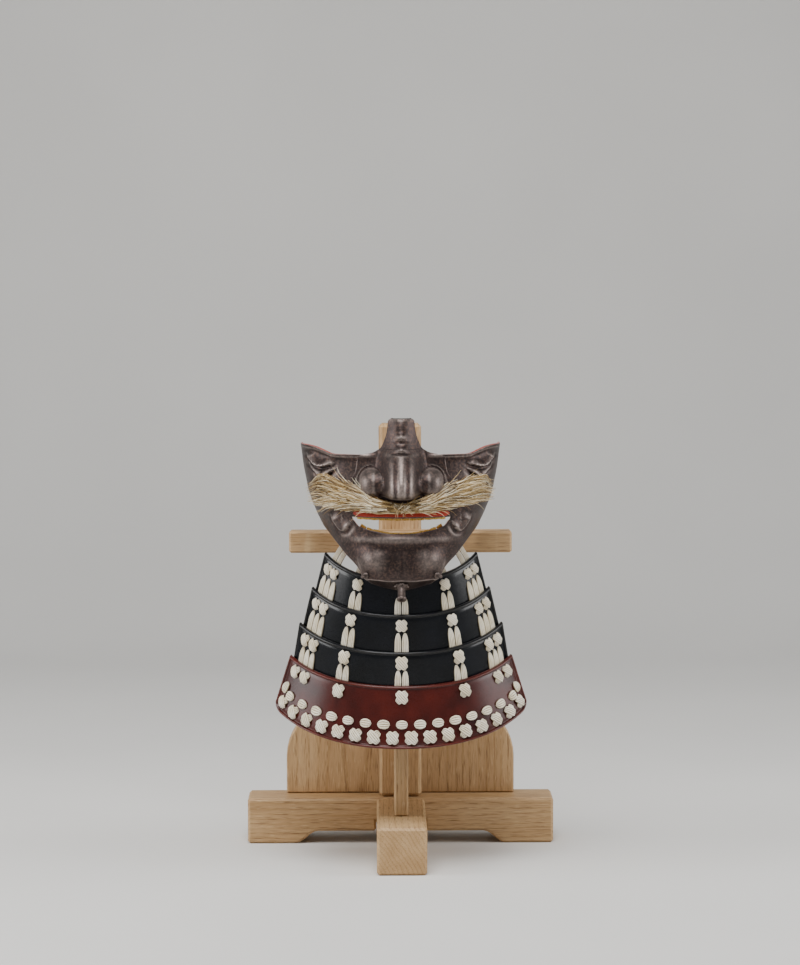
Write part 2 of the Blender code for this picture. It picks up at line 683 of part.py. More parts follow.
def comb(count, top, neck, bottom, low, high, place):
    """A closed bmesh: upright braids side by side from top to neck, joined from there down."""
    pitch = BRAID_WIDE + BRAID_GAP
    first = -(count * pitch - BRAID_GAP) / 2
    sides = [first + n * pitch + edge for n in range(count) for edge in (0, BRAID_WIDE)]
    front, back = (np.array([[place(u, w, lift) for w in (top, neck, bottom)] for u in sides])
                   for lift in (high, low))
    return sheet(front, back, [(n, 0) for n in range(1, len(sides) - 1, 2)], 1)


def lace(tier, word, angles, braids):
    """The braids on one lame that dive behind the next and end in its cross knots.

    Tier 0 hangs the first lame: its braids rise in front of the lame's rim, behind the jaw.
    """
    lame = tier                 # the lame whose knots these are
    radius = lame_radius(lame)
    pieces = []
    middle = sum(angles) / len(angles)
    if tier == 0:
        back = RIM_OUT + GAP

        def place(u, w, lift):
            return lame_point(0, middle + u / radius, w, lift)

        pieces.append(comb(braids, 0.0004, 0.0052, KNOT_DOWN + KNOT_BAR,
                           back, back + BRAID_THICK, place))
        front = back + BRAID_THICK + KNOT_THICK / 2
        for angle in angles:
            pieces.append(wrap(cross_outline(), GAP, front,
                               lambda u, w, lift, a=angle: lame_point(
                                   0, a + u / radius, w + KNOT_DOWN, lift)))
    else:
        above = lame - 1
        pitch = EDGE_Z[above] - EDGE_Z[lame]
        spread = EDGE_HALF[lame] / math.sin(LAME_HALF_ANGLE)
        neck = pitch + 0.0015
        behind = -(LAME_WALL + 2 * GAP + BRAID_THICK)

        def place(u, w, lift):
            if w <= neck:
                return lame_point(above, middle + u / spread, w, lift)
            return lame_point(lame, middle + u / spread, w - pitch, behind + lift)

        pieces.append(comb(braids, BRAID_TOP, neck, pitch + KNOT_DOWN + HOLE_HALF,
                           GAP, GAP + BRAID_THICK, place))
        half = HOLE_HALF - GAP
        size = KNOT_SINGLE if len(angles) == 1 else 1.0
        for angle in angles:
            def knot_place(u, w, lift, a=angle):
                return lame_point(lame, a + u / radius, w + KNOT_DOWN, lift)

            square = [(-half, -half), (half, -half), (half, half), (-half, half)]
            back = -(LAME_WALL + GAP + BRAID_THICK * 0.6)
            pieces.append(wrap(square, back, GAP + KNOT_THICK / 2, knot_place))
            pieces.append(wrap(cross_outline(size), GAP, GAP + KNOT_THICK, knot_place))
    join(f"lace_{tier + 1}_{word}", pieces, BRAID)


COLUMNS_OF_LACE = (
    ("left_end", (-END_ANGLES[1], -END_ANGLES[0]), 3), ("left", (-MIDDLE_ANGLE,), 2),
    ("middle", (0.0,), 2), ("right", (MIDDLE_ANGLE,), 2), ("right_end", END_ANGLES, 3),
)


def throat_guard():
    for lame in range(4):
        throat_lame(lame)
        for word, angles, braids in COLUMNS_OF_LACE:
            if lame == 0 and word == "middle":
                continue
            lace(lame, word, angles, braids)


def rounded(made, width=EDGE_ROUND, segments=1):
    bevel = made.modifiers.new("rounded edges", "BEVEL")
    bevel.width, bevel.segments = width, segments
    bevel.limit_method, bevel.angle_limit = "ANGLE", math.radians(40)
    return made


def s_curve(x_low, x_high, z_low, z_high, count=6):
    return [(x_low + (x_high - x_low) * n / count,
             z_low + (z_high - z_low) * (1 - math.cos(math.pi * n / count)) / 2)
            for n in range(count + 1)]


def stand():
    half_foot, half_beam = FOOT_WIDE / 2, BEAM_WIDE / 2
    halving = FOOT_HIGH / 2
    end = FOOT_LONG / 2
    notch = half_beam + GAP
    foot = [(-end, 0), (end, 0), (end, FOOT_HIGH), (notch, FOOT_HIGH), (notch, halving - GAP / 2),
            (-notch, halving - GAP / 2), (-notch, FOOT_HIGH), (-end, FOOT_HIGH)]
    rounded(add("base_foot", prism(foot, -half_foot, half_foot, 0), OAK, False))
    end = BEAM_LONG / 2
    notch = half_foot + GAP
    right = [(end - PAD_LONG, 0), (end, 0)]
    rise = s_curve(end - PAD_LONG - ARCH_RUN, end - PAD_LONG, ARCH_HIGH, 0)
    half = [(notch, halving + GAP / 2), (notch, ARCH_HIGH)] + rise + right[1:] + [(end, FOOT_HIGH)]
    beam = half + [(-x, z) for x, z in reversed(half)]
    rounded(add("base_beam", prism(beam, -half_beam, half_beam, 1), OAK, False))
    floor = FOOT_HIGH + GAP
    post = box((-POST_WIDE / 2, POST_WIDE / 2), (POST_BACK - POST_THICK, POST_BACK),
               (floor, POST_TOP))
    rounded(add("post", post, OAK, False), 0.003)
    low = BOARD_WIDE / 2 - BOARD_CORNER
    arc = [(low + BOARD_CORNER * math.cos(math.radians(a)),
            floor + BOARD_HIGH - BOARD_CORNER + BOARD_CORNER * math.sin(math.radians(a)))
           for a in range(0, 91, 9)]
    board = [(BOARD_WIDE / 2, floor)] + arc + [(-x, z) for x, z in reversed(arc)]
    board += [(-BOARD_WIDE / 2, floor)]
    back = POST_BACK + GAP
    rounded(add("wide_board", prism(board, back, back + BOARD_THICK, 1), OAK, False), 0.0012)
    rib_back = POST_BACK - POST_THICK - GAP
    bar_front = BAR_BACK - BAR_THICK
    seat = BAR_Z - GAP
    horn = face_section(0, HORN_UNDER).y + MASK_WALL + 0.0015
    under = CHIN_Z + HORN_UNDER
    rib = [(RIB_FRONT, floor), (rib_back, floor), (rib_back, RIB_TOP), (BAR_BACK + GAP, RIB_TOP),
           (BAR_BACK + GAP, seat), (bar_front - GAP, seat), (bar_front - GAP, RIB_TOP),
           (RIB_FRONT, RIB_TOP), (horn, RIB_TOP - 0.006), (horn, under), (RIB_FRONT, under - 0.004)]
    rounded(add("front_rib", prism(rib, -RIB_THICK / 2, RIB_THICK / 2, 0), OAK, False), 0.0012)
    bar = box((-BAR_LONG / 2, BAR_LONG / 2), (bar_front, BAR_BACK), (BAR_Z, BAR_Z + BAR_HIGH))
    rounded(add("crossbar", bar, OAK, False), 0.0018)


stand()
fittings(mask_shell())
nose_piece()
mouth_pieces()
tuft(-1)
tuft(1)
throat_guard()
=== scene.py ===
"""An iron half mask with its moustache and its laced throat guard, on an oak stand.

Metres, +Z up, the mask facing -Y. The shapes follow the sizes of the solids, which they dress.
"""
import math

import bmesh
import bpy
import numpy as np
from mathutils import Matrix, Vector


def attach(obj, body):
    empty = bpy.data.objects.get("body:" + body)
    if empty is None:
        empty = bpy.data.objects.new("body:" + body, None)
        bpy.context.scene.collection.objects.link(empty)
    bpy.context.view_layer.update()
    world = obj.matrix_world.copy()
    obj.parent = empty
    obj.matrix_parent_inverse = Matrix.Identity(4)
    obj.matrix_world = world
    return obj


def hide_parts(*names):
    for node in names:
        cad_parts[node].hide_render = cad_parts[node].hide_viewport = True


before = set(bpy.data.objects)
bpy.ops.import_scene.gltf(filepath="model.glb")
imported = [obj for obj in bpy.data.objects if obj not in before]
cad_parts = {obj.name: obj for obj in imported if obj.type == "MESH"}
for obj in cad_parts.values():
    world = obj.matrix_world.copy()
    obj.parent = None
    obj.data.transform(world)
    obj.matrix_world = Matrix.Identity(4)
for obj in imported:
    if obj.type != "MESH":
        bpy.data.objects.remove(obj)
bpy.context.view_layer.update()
rng = np.random.default_rng(11)

# Sizes of the solids
MASK_WIDTH, MASK_DEPTH, MASK_HEIGHT = 0.174, 0.084, 0.121
CHIN_Z, MASK_BACK, MASK_WALL = 0.243, -0.068, 0.0020
CHIN_TUCK, SIDE_TUCK, EDGE_FLARE = 0.014, 0.0025, 0.0016
MOUTH_CORNER, NOSE_NOTCH, LIP_SHARE = math.radians(35.5), math.radians(21), 0.92
NOSE_WALL, NOSE_CLEAR, NOSE_TOP_Z, NOSE_FOOT_Z = 0.0016, 0.0009, 0.390, 0.3215
NOSE_REACH, WING_OUT, WING_WIDE, WING_TALL, WING_DEEP = 0.029, 0.026, 0.0092, 0.0135, 0.0125
PIN_OUT, PIN_Z = 0.0425, 0.3335
PEG_OUT, PEG_Z = 0.0295, 0.2565
LIP_TALL, LIP_THICK = 0.0050, 0.0016
TUFT_START, TUFT_END, TUFT_THICK, TUFT_CLEAR = 0.003, 0.078, 0.0075, 0.0052
TUBE_R, TUBE_BORE, TUBE_LENGTH, COLLAR_R, COLLAR_THICK = 0.0033, 0.0020, 0.0135, 0.0062, 0.0016
LAME_WALL, LAME_STEP, LAME_OVERLAP, CORNER_R = 0.0016, 0.0043, 0.0070, 0.009
LAME_HALF_ANGLE = math.radians(56.6)
RIM_TALL, RIM_OUT = 0.0024, 0.0013
EDGE_HALF = (0.0655, 0.0767, 0.0877, 0.0960, 0.1103)
EDGE_FRONT = (-0.1310, -0.1370, -0.1420, -0.1470, -0.1550)
EDGE_Z = (0.2520, 0.2219, 0.1903, 0.1619, 0.1093)
EDGE_RISE = (0.0190, 0.0190, 0.0195, 0.0195, 0.0270)
EDGE_CURVE = 2.25
BRAID_WIDE, BRAID_THICK, BRAID_GAP = 0.0060, 0.0011, 0.0005
KNOT_DOWN, HOLE_HALF, BRAID_TOP = 0.0094, 0.0023, 0.0160
MIDDLE_ANGLE = math.radians(27.2)
END_ANGLES = (math.radians(44.8), math.radians(50.6))
GAP = 0.0004
KNOT_LIFT = 0.0002                              # a knot over the lame it sits on
RUBBED_AT = 0.00010                             # standing out this far, iron is rubbed bare
HEM_PITCH, HEM_END, HEM_HIGH_END = 7.1, 52.6, 53.2      # degrees
SIDES = ((-1, "left"), (1, "right"))

FACE_HALF = ((0, .598), (.08, .632), (.124, .655), (.223, .695), (.331, .736), (.397, .764),
             (.521, .845), (.653, .914), (.76, .948), (.843, .971), (.942, .989), (1, 1))
FACE_DEPTH = ((0, 1), (.124, 1), (.223, .994), (.331, .976), (.397, .964), (.521, .935),
              (.653, .905), (.76, .881), (.843, .851), (.942, .81), (1, .786))
EYE_EDGE = ((0, .942), (.3, .944), (.4, .944), (.478, .948), (.557, .972), (.64, .992), (.75, 1),
            (1, 1))
NOSE_LINE = ((0, .686), (.3, .686), (1, .744))
LIP_TOP = ((0, .522), (.3, .524), (.394, .527), (1, .62))
LIP_LOW = ((0, .403), (.112, .406), (.21, .419), (.29, .432), (.36, .458), (.394, .500), (.55, .52),
           (1, .575))
JAW_EDGE = ((0, 0), (.12, .005), (.22, .018), (.31, .034), (.394, .060), (.42, .120), (.46, .155),
            (.552, .206), (.707, .312), (.889, .385), (1, .39))
RIDGE_UP = ((0, .079), (.22, .061), (.31, .048), (.394, .030), (.5, .034), (1, .036))


# ---- Materials -------------------------------------------------------------------------------

def linear(code):
    """An sRGB hex colour as linear light."""
    parts = [int(code[n:n + 2], 16) / 255 for n in (1, 3, 5)]
    return (*[c / 12.92 if c <= 0.04045 else ((c + 0.055) / 1.055) ** 2.4 for c in parts], 1.0)


def node(tree, kind, settings=None, links=None):
    """Adds a node with its settings; each link gives an input a value or another node's output."""
    made = tree.nodes.new(kind)
    for name, value in (settings or {}).items():
        setattr(made, name, value)
    for name, value in (links or {}).items():
        if isinstance(value, bpy.types.NodeSocket):
            tree.links.new(value, made.inputs[name])
        else:
            made.inputs[name].default_value = value
    return made


def finish_of(name, **sockets):
    """A material with its shader, whose own sockets hold what is the same all over."""
    made = bpy.data.materials.new(name)
    made.use_nodes = True
    shader = made.node_tree.nodes["Principled BSDF"]
    for label, value in sockets.items():
        shader.inputs[label.replace("_", " ")].default_value = value
    return made, made.node_tree, shader


def ramp(tree, factor, *stops):
    """A colour ramp of (place, hex colour) stops."""
    made = node(tree, "ShaderNodeValToRGB", None, {"Fac": factor})
    line = made.color_ramp.elements
    while len(line) < len(stops):
        line.new(0.5)
    for element, (place, colour) in zip(line, stops):
        element.position = place
        element.color = linear(colour)
    return made.outputs["Color"]


def noise(tree, where, scale, detail, roughness=0.5):
    return node(tree, "ShaderNodeTexNoise", None, {
        "Vector": where, "Scale": scale, "Detail": detail, "Roughness": roughness}).outputs["Fac"]


def maths(tree, operation, *values):
    made = node(tree, "ShaderNodeMath", {"operation": operation}, dict(enumerate(values)))
    return made.outputs[0]


def mix(tree, share, base, over, blend="MIX"):
    return node(tree, "ShaderNodeMix", {"data_type": "RGBA", "blend_type": blend},
                {0: share, 6: base, 7: over}).outputs[2]


def mapped(tree, value, from_low, from_high, low, high):
    """A value whose range from_low to from_high is spread from low to high."""
    return node(tree, "ShaderNodeMapRange", None,
                {0: value, 1: from_low, 2: from_high, 3: low, 4: high}).outputs[0]


def stretched(tree, where, along):
    return node(tree, "ShaderNodeMapping", None,
                {"Vector": where, "Scale": (1.0, 1.0, along)}).outputs[0]


def value_of(tree, name):
    return node(tree, "ShaderNodeAttribute", {"attribute_name": name}).outputs["Fac"]


def place_in(tree):
    return node(tree, "ShaderNodeTexCoord").outputs["Object"]


def rough(tree, shader, factor, low, high):
    tree.links.new(mapped(tree, factor, 0.0, 1.0, low, high), shader.inputs["Roughness"])


def surface(tree, shader, colour, *layers):
    """The colour, and bumps in turn, each (height, strength, distance in metres)."""
    tree.links.new(colour, shader.inputs["Base Color"])
    normal = None
    for height, strength, distance in layers:
        links = {"Height": height, "Strength": strength, "Distance": distance}
        if normal is not None:
            links["Normal"] = normal
        normal = node(tree, "ShaderNodeBump", None, links).outputs["Normal"]
    tree.links.new(normal, shader.inputs["Normal"])


def russet_iron():
    """Forged iron, rusted on purpose and oiled: near black-brown, satin, with fine pits that
    sparkle and a paler metal where ridges are rubbed."""
    made, tree, shader = finish_of("russet_iron_forged", Metallic=0.72)
    where = place_in(tree)
    # Hammer marks are about 9 mm across, the rust's mottling 2 mm, and its pits 0.5 mm.
    marks = noise(tree, where, 110.0, 3.0)
    mottle = noise(tree, where, 480.0, 6.0, 0.65)
    pits = noise(tree, where, 1900.0, 2.0)
    rust = mix(tree, 0.40,
               ramp(tree, mottle, (0.32, "#1a1413"), (0.50, "#342927"), (0.68, "#644b3e")),
               ramp(tree, marks, (0.35, "#251e1c"), (0.65, "#443634")))
    worn = mix(tree, maths(tree, "MULTIPLY", value_of(tree, "wear"), mottle), rust,
               linear("#b3a49c"))
    rough(tree, shader, mottle, 0.30, 0.56)
    surface(tree, shader, worn, (marks, 0.35, 0.0010), (mottle, 0.30, 0.0004),
            (pits, 0.35, 0.00015))
    return made


def lacquer(name, low, high, worn, gloss):
    """Urushi brushed over iron: deep colour under a clear glossy film that pools a little, and
    rubs paler along the rims."""
    made, tree, shader = finish_of(name, Coat_Weight=0.8, Coat_Roughness=gloss, Coat_IOR=1.4,
                                   IOR=1.5, Specular_IOR_Level=0.1)
    where = place_in(tree)
    pool = noise(tree, where, 42.0, 3.0)
    fine = noise(tree, where, 420.0, 2.0)
    colour = mix(tree, maths(tree, "MULTIPLY", value_of(tree, "wear"), fine),
                 ramp(tree, pool, (0.35, low), (0.70, high)), linear(worn))
    rough(tree, shader, noise(tree, where, 1500.0, 3.0), 0.16, 0.42)
    surface(tree, shader, colour, (pool, 0.30, 0.0012), (fine, 0.10, 0.0002))
    return made


def gilding():
    """Gold leaf over lacquer, rubbed thin: warm metal with brown showing through in specks."""
    made, tree, shader = finish_of("gold_leaf_rubbed")
    specks = noise(tree, place_in(tree), 900.0, 5.0)
    tree.links.new(mapped(tree, specks, 0.34, 0.44, 0.1, 0.75), shader.inputs["Metallic"])
    rough(tree, shader, specks, 0.48, 0.28)
    surface(tree, shader,
            ramp(tree, specks, (0.34, "#7a5420"), (0.44, "#d2a545"), (0.70, "#f0cf7a")),
            (specks, 0.3, 0.0002))
    return made


def silk_braid():
    """Flat silk braid of plied cords: ribs along it, each twisted, in undyed white, with painted
    shade darkening its colour in the grooves between the cords. Its UV map is in cords across and
    millimetres along."""
    made, tree, shader = finish_of("silk_braid_undyed", Sheen_Weight=0.35, Sheen_Roughness=0.5,
                                   Roughness=0.72, Specular_IOR_Level=0.3)
    across = node(tree, "ShaderNodeUVMap", {"uv_map": "UVMap"}).outputs["UV"]
    parts = node(tree, "ShaderNodeSeparateXYZ", None, {0: across}).outputs
    # Plies of 0.9 mm lean across each cord.
    lean = maths(tree, "MULTIPLY_ADD", parts["X"], 0.9, parts["Y"])
    ply = maths(tree, "SINE", maths(tree, "MULTIPLY", lean, 2 * math.pi / 0.9))
    wave = maths(tree, "SINE", maths(tree, "MULTIPLY", parts["X"], math.pi))
    crest = maths(tree, "ABSOLUTE", wave)
    fuzz = noise(tree, place_in(tree), 2400.0, 3.0)
    stain = noise(tree, place_in(tree), 90.0, 3.0)
    # Painted shade: the colour darkens from each cord's crest down into the grooves between the
    # cords.
    tone = ramp(tree, crest, (0.0, "#8c7c60"), (0.35, "#d8cdb4"), (0.9, "#faf6ec"))
    aged = ramp(tree, stain, (0.35, "#e2d6b8"), (0.65, "#fffcf4"))
    surface(tree, shader, mix(tree, 0.7, tone, aged, "MULTIPLY"),
            (crest, 0.5, 0.0004), (ply, 0.35, 0.00012), (fuzz, 0.4, 0.00012))
    return made


def horsehair():
    """Stiff straw-coloured bristle: each hair its own tone, with a soft gloss along it."""
    made, tree, shader = finish_of("bristle_straw", Roughness=0.48, Specular_IOR_Level=0.55)
    surface(tree, shader,
            ramp(tree, value_of(tree, "tone"), (0.0, "#3f2e19"), (0.25, "#8a6a38"),
                 (0.55, "#cdb07a"), (1.0, "#fbf2d8")),
            (noise(tree, place_in(tree), 700.0, 2.0), 0.4, 0.0001))
    return made


def oak(name, turn, pith):
    """Planed and oiled white oak. The grain runs along the mapped Z: growth rings 3 mm apart
    about a pith outside the piece, dark pores in streaks, and pale rays."""
    made, tree, shader = finish_of(name, Specular_IOR_Level=0.4, IOR=1.5)
    where = node(tree, "ShaderNodeMapping", None,
                 {"Vector": place_in(tree), "Rotation": turn, "Location": pith}).outputs[0]
    long = stretched(tree, where, 0.10)
    parts = node(tree, "ShaderNodeSeparateXYZ", None, {0: where}).outputs
    flat = node(tree, "ShaderNodeCombineXYZ", None, {0: parts["X"], 1: parts["Y"], 2: 0.0})
    away = node(tree, "ShaderNodeVectorMath", {"operation": "LENGTH"}, {0: flat.outputs[0]})
    warped = maths(tree, "MULTIPLY_ADD", noise(tree, long, 30.0, 2.0), 0.010,
                   away.outputs["Value"])
    ring = maths(tree, "FRACT", maths(tree, "MULTIPLY", warped, 1 / 0.0034))
    # Pores 0.3 mm wide, 8 mm long, drawn twice as coarse as they are so that they show.
    pores = noise(tree, stretched(tree, where, 0.055), 1500.0, 2.0)
    dark = maths(tree, "MULTIPLY", mapped(tree, pores, 0.50, 0.66, 0.0, 1.0),
                 mapped(tree, ring, 0.0, 0.7, 0.9, 0.30))
    around = node(tree, "ShaderNodeCombineXYZ", None, {
        0: maths(tree, "ARCTAN2", parts["Y"], parts["X"]), 1: 0.0, 2: parts["Z"]}).outputs[0]
    rays = noise(tree, stretched(tree, around, 0.6), 150.0, 1.0)
    cloud = noise(tree, long, 55.0, 4.0)
    wood = mix(tree, 0.42,
               ramp(tree, cloud, (0.30, "#9f7c50"), (0.55, "#b8966a"), (0.75, "#cbab80")),
               ramp(tree, ring, (0.0, "#a07a4c"), (0.35, "#bf9c70"), (0.90, "#b8946a"),
                    (1.0, "#9c774b")))
    rayed = mix(tree, mapped(tree, rays, 0.60, 0.72, 0.0, 0.35), wood, linear("#d8bc92"))
    rough(tree, shader, cloud, 0.44, 0.62)
    surface(tree, shader, mix(tree, dark, rayed, linear("#6f4e2d")),
            (maths(tree, "SUBTRACT", 1.0, dark), 0.5, 0.0003), (ring, 0.10, 0.0003))
    return made


IRON = russet_iron()
BLACK = lacquer("urushi_black", "#050608", "#0d0f14", "#4a4640", 0.18)
BROWN = lacquer("urushi_red_brown", "#320e0a", "#4c1710", "#8a3a26", 0.27)
RED = lacquer("urushi_vermilion", "#86200f", "#ab3520", "#c9553c", 0.40)
GOLD = gilding()
BRAID = silk_braid()
HAIR = horsehair()


# ---- Building --------------------------------------------------------------------------------

def stood(name, data):
    """An object in the scene."""
    made = bpy.data.objects.new(name, data)
    bpy.context.scene.collection.objects.link(made)
    return made


def piece(name, mesh, looks, slot, nodes, smooth=40):
    """Links a finished mesh as a piece that stands for these solids."""
    mesh.name = name
    if not len(mesh.materials):
        for look in looks:
            mesh.materials.append(look)
    mesh.shade_smooth()
    mesh.set_sharp_from_angle(angle=math.radians(smooth))
    made = stood(name, mesh)
    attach(made, "root")
    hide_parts(*nodes)
    return made


def mesh_of(points, faces, marks=None, values=None, places=None):
    """A mesh from points and faces, with a material mark for each face, named values for each
    point, and a UV place for each corner."""
    mesh = bpy.data.meshes.new("part")
    mesh.from_pydata([tuple(p) for p in points], [], faces)
    if marks is not None:
        mesh.polygons.foreach_set("material_index", marks)
    for label, numbers in (values or {}).items():
        mesh.attributes.new(label, "FLOAT", "POINT").data.foreach_set("value", numbers)
    if places is not None:
        layer = mesh.uv_layers.new(name="UVMap")
        layer.data.foreach_set("uv", np.asarray(places, float).ravel())
    return mesh


def together(meshes):
    """One mesh of several."""
    bm = bmesh.new()
    for mesh in meshes:
        bm.from_mesh(mesh)
        bpy.data.meshes.remove(mesh)
    made = bpy.data.meshes.new("together")
    bm.to_mesh(made)
    bm.free()
    return made


def curve(table, at):
    """A smooth line through a table of (place, value), level past its ends."""
    places = [row[0] for row in table]
    values = [row[1] for row in table]
    if at <= places[0]:
        return values[0]
    if at >= places[-1]:
        return values[-1]
    n = max(i for i, place in enumerate(places[:-1]) if place <= at)
    slopes = []
    for i in (n, n + 1):
        low, high = max(i - 1, 0), min(i + 1, len(places) - 1)
        slopes.append((values[high] - values[low]) / (places[high] - places[low]))
    span = places[n + 1] - places[n]
    t = (at - places[n]) / span
    return ((1 + 2 * t) * (1 - t) ** 2 * values[n] + t * (1 - t) ** 2 * span * slopes[0]
            + t * t * (3 - 2 * t) * values[n + 1] + t * t * (t - 1) * span * slopes[1])


def bump(distance, reach):
    return math.exp(-(distance / reach) ** 2)


def normals(grid):
    """Outward normals of a grid whose first index runs to +X and second downward."""
    out = np.cross(np.gradient(grid, axis=1), np.gradient(grid, axis=0))
    return out / np.maximum(np.linalg.norm(out, axis=2, keepdims=True), 1e-12)


def rubbed(grid, scale):
    """How far each point of a grid stands out from its neighbours, from 0 to 1."""
    stand = np.zeros(grid.shape[:2])
    near = (grid[:-2, 1:-1] + grid[2:, 1:-1] + grid[1:-1, :-2] + grid[1:-1, 2:]) / 4
    stand[1:-1, 1:-1] = ((grid[1:-1, 1:-1] - near) * normals(grid)[1:-1, 1:-1]).sum(axis=2)
    return np.clip(stand / scale, 0, 1)


def shell(outer, inner, left_out=(), inside=0, wear=None, turn_in=0.5):
    """A mesh of a wall between two grids, with openings and round edges. The inner face takes
    the material marked inside, which starts at the share turn_in of an edge's thickness."""
    across, down = outer.shape[:2]
    count = across * down
    points = np.concatenate([outer.reshape(-1, 3), inner.reshape(-1, 3)])
    kept = np.ones((across + 1, down + 1), bool)
    kept[0] = kept[-1] = False
    kept[:, 0] = kept[:, -1] = False
    for a, b in left_out:
        kept[a + 1, b + 1] = False
    faces, marks, ends, lean = [], [], [], {}

    def at(i, j):
        return i * down + j

    for a in range(across - 1):
        for b in range(down - 1):
            if not kept[a + 1, b + 1]:
                continue
            quad = (at(a, b), at(a, b + 1), at(a + 1, b + 1), at(a + 1, b))
            faces.append(quad)
            marks.append(0)
            faces.append(tuple(count + v for v in reversed(quad)))
            marks.append(inside)
            for step, first, last in (((0, -1), (a, b), (a + 1, b)),
                                      ((0, 1), (a + 1, b + 1), (a, b + 1)),
                                      ((-1, 0), (a, b + 1), (a, b)),
                                      ((1, 0), (a + 1, b), (a + 1, b + 1))):
                if kept[a + 1 + step[0], b + 1 + step[1]]:
                    continue
                ends.append((at(*first), at(*last)))
                for i, j in (first, last):
                    back_i = min(max(i - step[0], 0), across - 1)
                    back_j = min(max(j - step[1], 0), down - 1)
                    way = outer[i, j] - outer[back_i, back_j]
                    lean.setdefault(at(i, j), np.zeros(3))
                    lean[at(i, j)] += way / max(np.linalg.norm(way), 1e-9)
    middle, extra = {}, []
    for v, way in lean.items():
        thick = np.linalg.norm(points[v] - points[count + v])
        middle[v] = 2 * count + len(extra)
        extra.append(points[v] * (1 - turn_in) + points[count + v] * turn_in
                     + way / max(np.linalg.norm(way), 1e-9) * thick * 0.4)
    for first, last in ends:
        faces.append((first, last, middle[last], middle[first]))
        faces.append((middle[first], middle[last], count + last, count + first))
        marks += [0, inside]
    points = np.concatenate([points, np.array(extra)])
    worn = np.zeros(len(points))
    if wear is not None:
        worn[:count] = wear.reshape(-1)
        worn[2 * count:] = 0.35
    mesh = mesh_of(points, faces, marks, {"wear": worn})
    bm = bmesh.new()
    bm.from_mesh(mesh)
    bmesh.ops.delete(bm, geom=[v for v in bm.verts if not v.link_faces], context="VERTS")
    bm.to_mesh(mesh)
    bm.free()
    return mesh


def tube(rings, places=None, closed=True, wear=0.0):
    """A mesh through rings of the same number of points, its two ends closed by fans."""
    count = len(rings[0])
    points = [p for ring in rings for p in ring]
    faces = []
    for r in range(len(rings) - 1):
        for n in range(count):
            m = (n + 1) % count
            faces.append((r * count + n, r * count + m, (r + 1) * count + m, (r + 1) * count + n))
    if closed:
        for r, order in ((0, -1), (len(rings) - 1, 1)):
            centre = len(points)
            points.append(sum((Vector(p) for p in rings[r]), Vector()) / count)
            for n in range(count):
                m = (n + 1) % count
                pair = (r * count + n, r * count + m)
                faces.append((*pair[::order], centre))
    corner = None
    if places is not None:
        flat = [uv for row in places for uv in row]
        flat += [places[0][0], places[-1][0]]
        corner = [flat[v] for face in faces for v in face]
    return mesh_of(points, faces, None, {"wear": [wear] * len(points)}, corner)


def outward(mesh, weld=0.0):
    """Turns the faces outward, after points nearer than weld are joined."""
    bm = bmesh.new()
    bm.from_mesh(mesh)
    if weld:
        bmesh.ops.remove_doubles(bm, verts=bm.verts, dist=weld)
    bmesh.ops.recalc_face_normals(bm, faces=bm.faces)
    bm.to_mesh(mesh)
    bm.free()
    return mesh


# ---- Geometry trees --------------------------------------------------------------------------

def tree_with(name, inputs):
    tree = bpy.data.node_groups.new(name, "GeometryNodeTree")
    tree.interface.new_socket("Geometry", in_out="INPUT", socket_type="NodeSocketGeometry")
    tree.interface.new_socket("Geometry", in_out="OUTPUT", socket_type="NodeSocketGeometry")
    for label, kind in inputs:
        tree.interface.new_socket(label, in_out="INPUT", socket_type="NodeSocket" + kind)
    return tree, node(tree, "NodeGroupInput").outputs


def completed(tree, given, made):
    """Ends a tree: what was made turns into a plain mesh with its finish."""
    real = node(tree, "GeometryNodeRealizeInstances", None, {0: made.outputs[0]})
    done = node(tree, "GeometryNodeSetMaterial", None,
                {"Geometry": real.outputs[0], "Material": given["Finish"]})
    node(tree, "NodeGroupOutput", None, {0: done.outputs[0]})
    return tree


def grown(base, tree, **values):
    """The plain mesh that a tree makes of a base mesh."""
    holder = stood("holder", base)
    live = holder.modifiers.new("grow", "NODES")
    live.node_group = tree
    named = {item.name: item.identifier for item in tree.interface.items_tree}
    for label, value in values.items():
        live[named[label.replace("_", " ")]] = value
    bpy.context.view_layer.update()
    mesh = bpy.data.meshes.new_from_object(
        holder.evaluated_get(bpy.context.evaluated_depsgraph_get()))
    holder.modifiers.clear()
    bpy.data.objects.remove(holder, do_unlink=True)
    return mesh


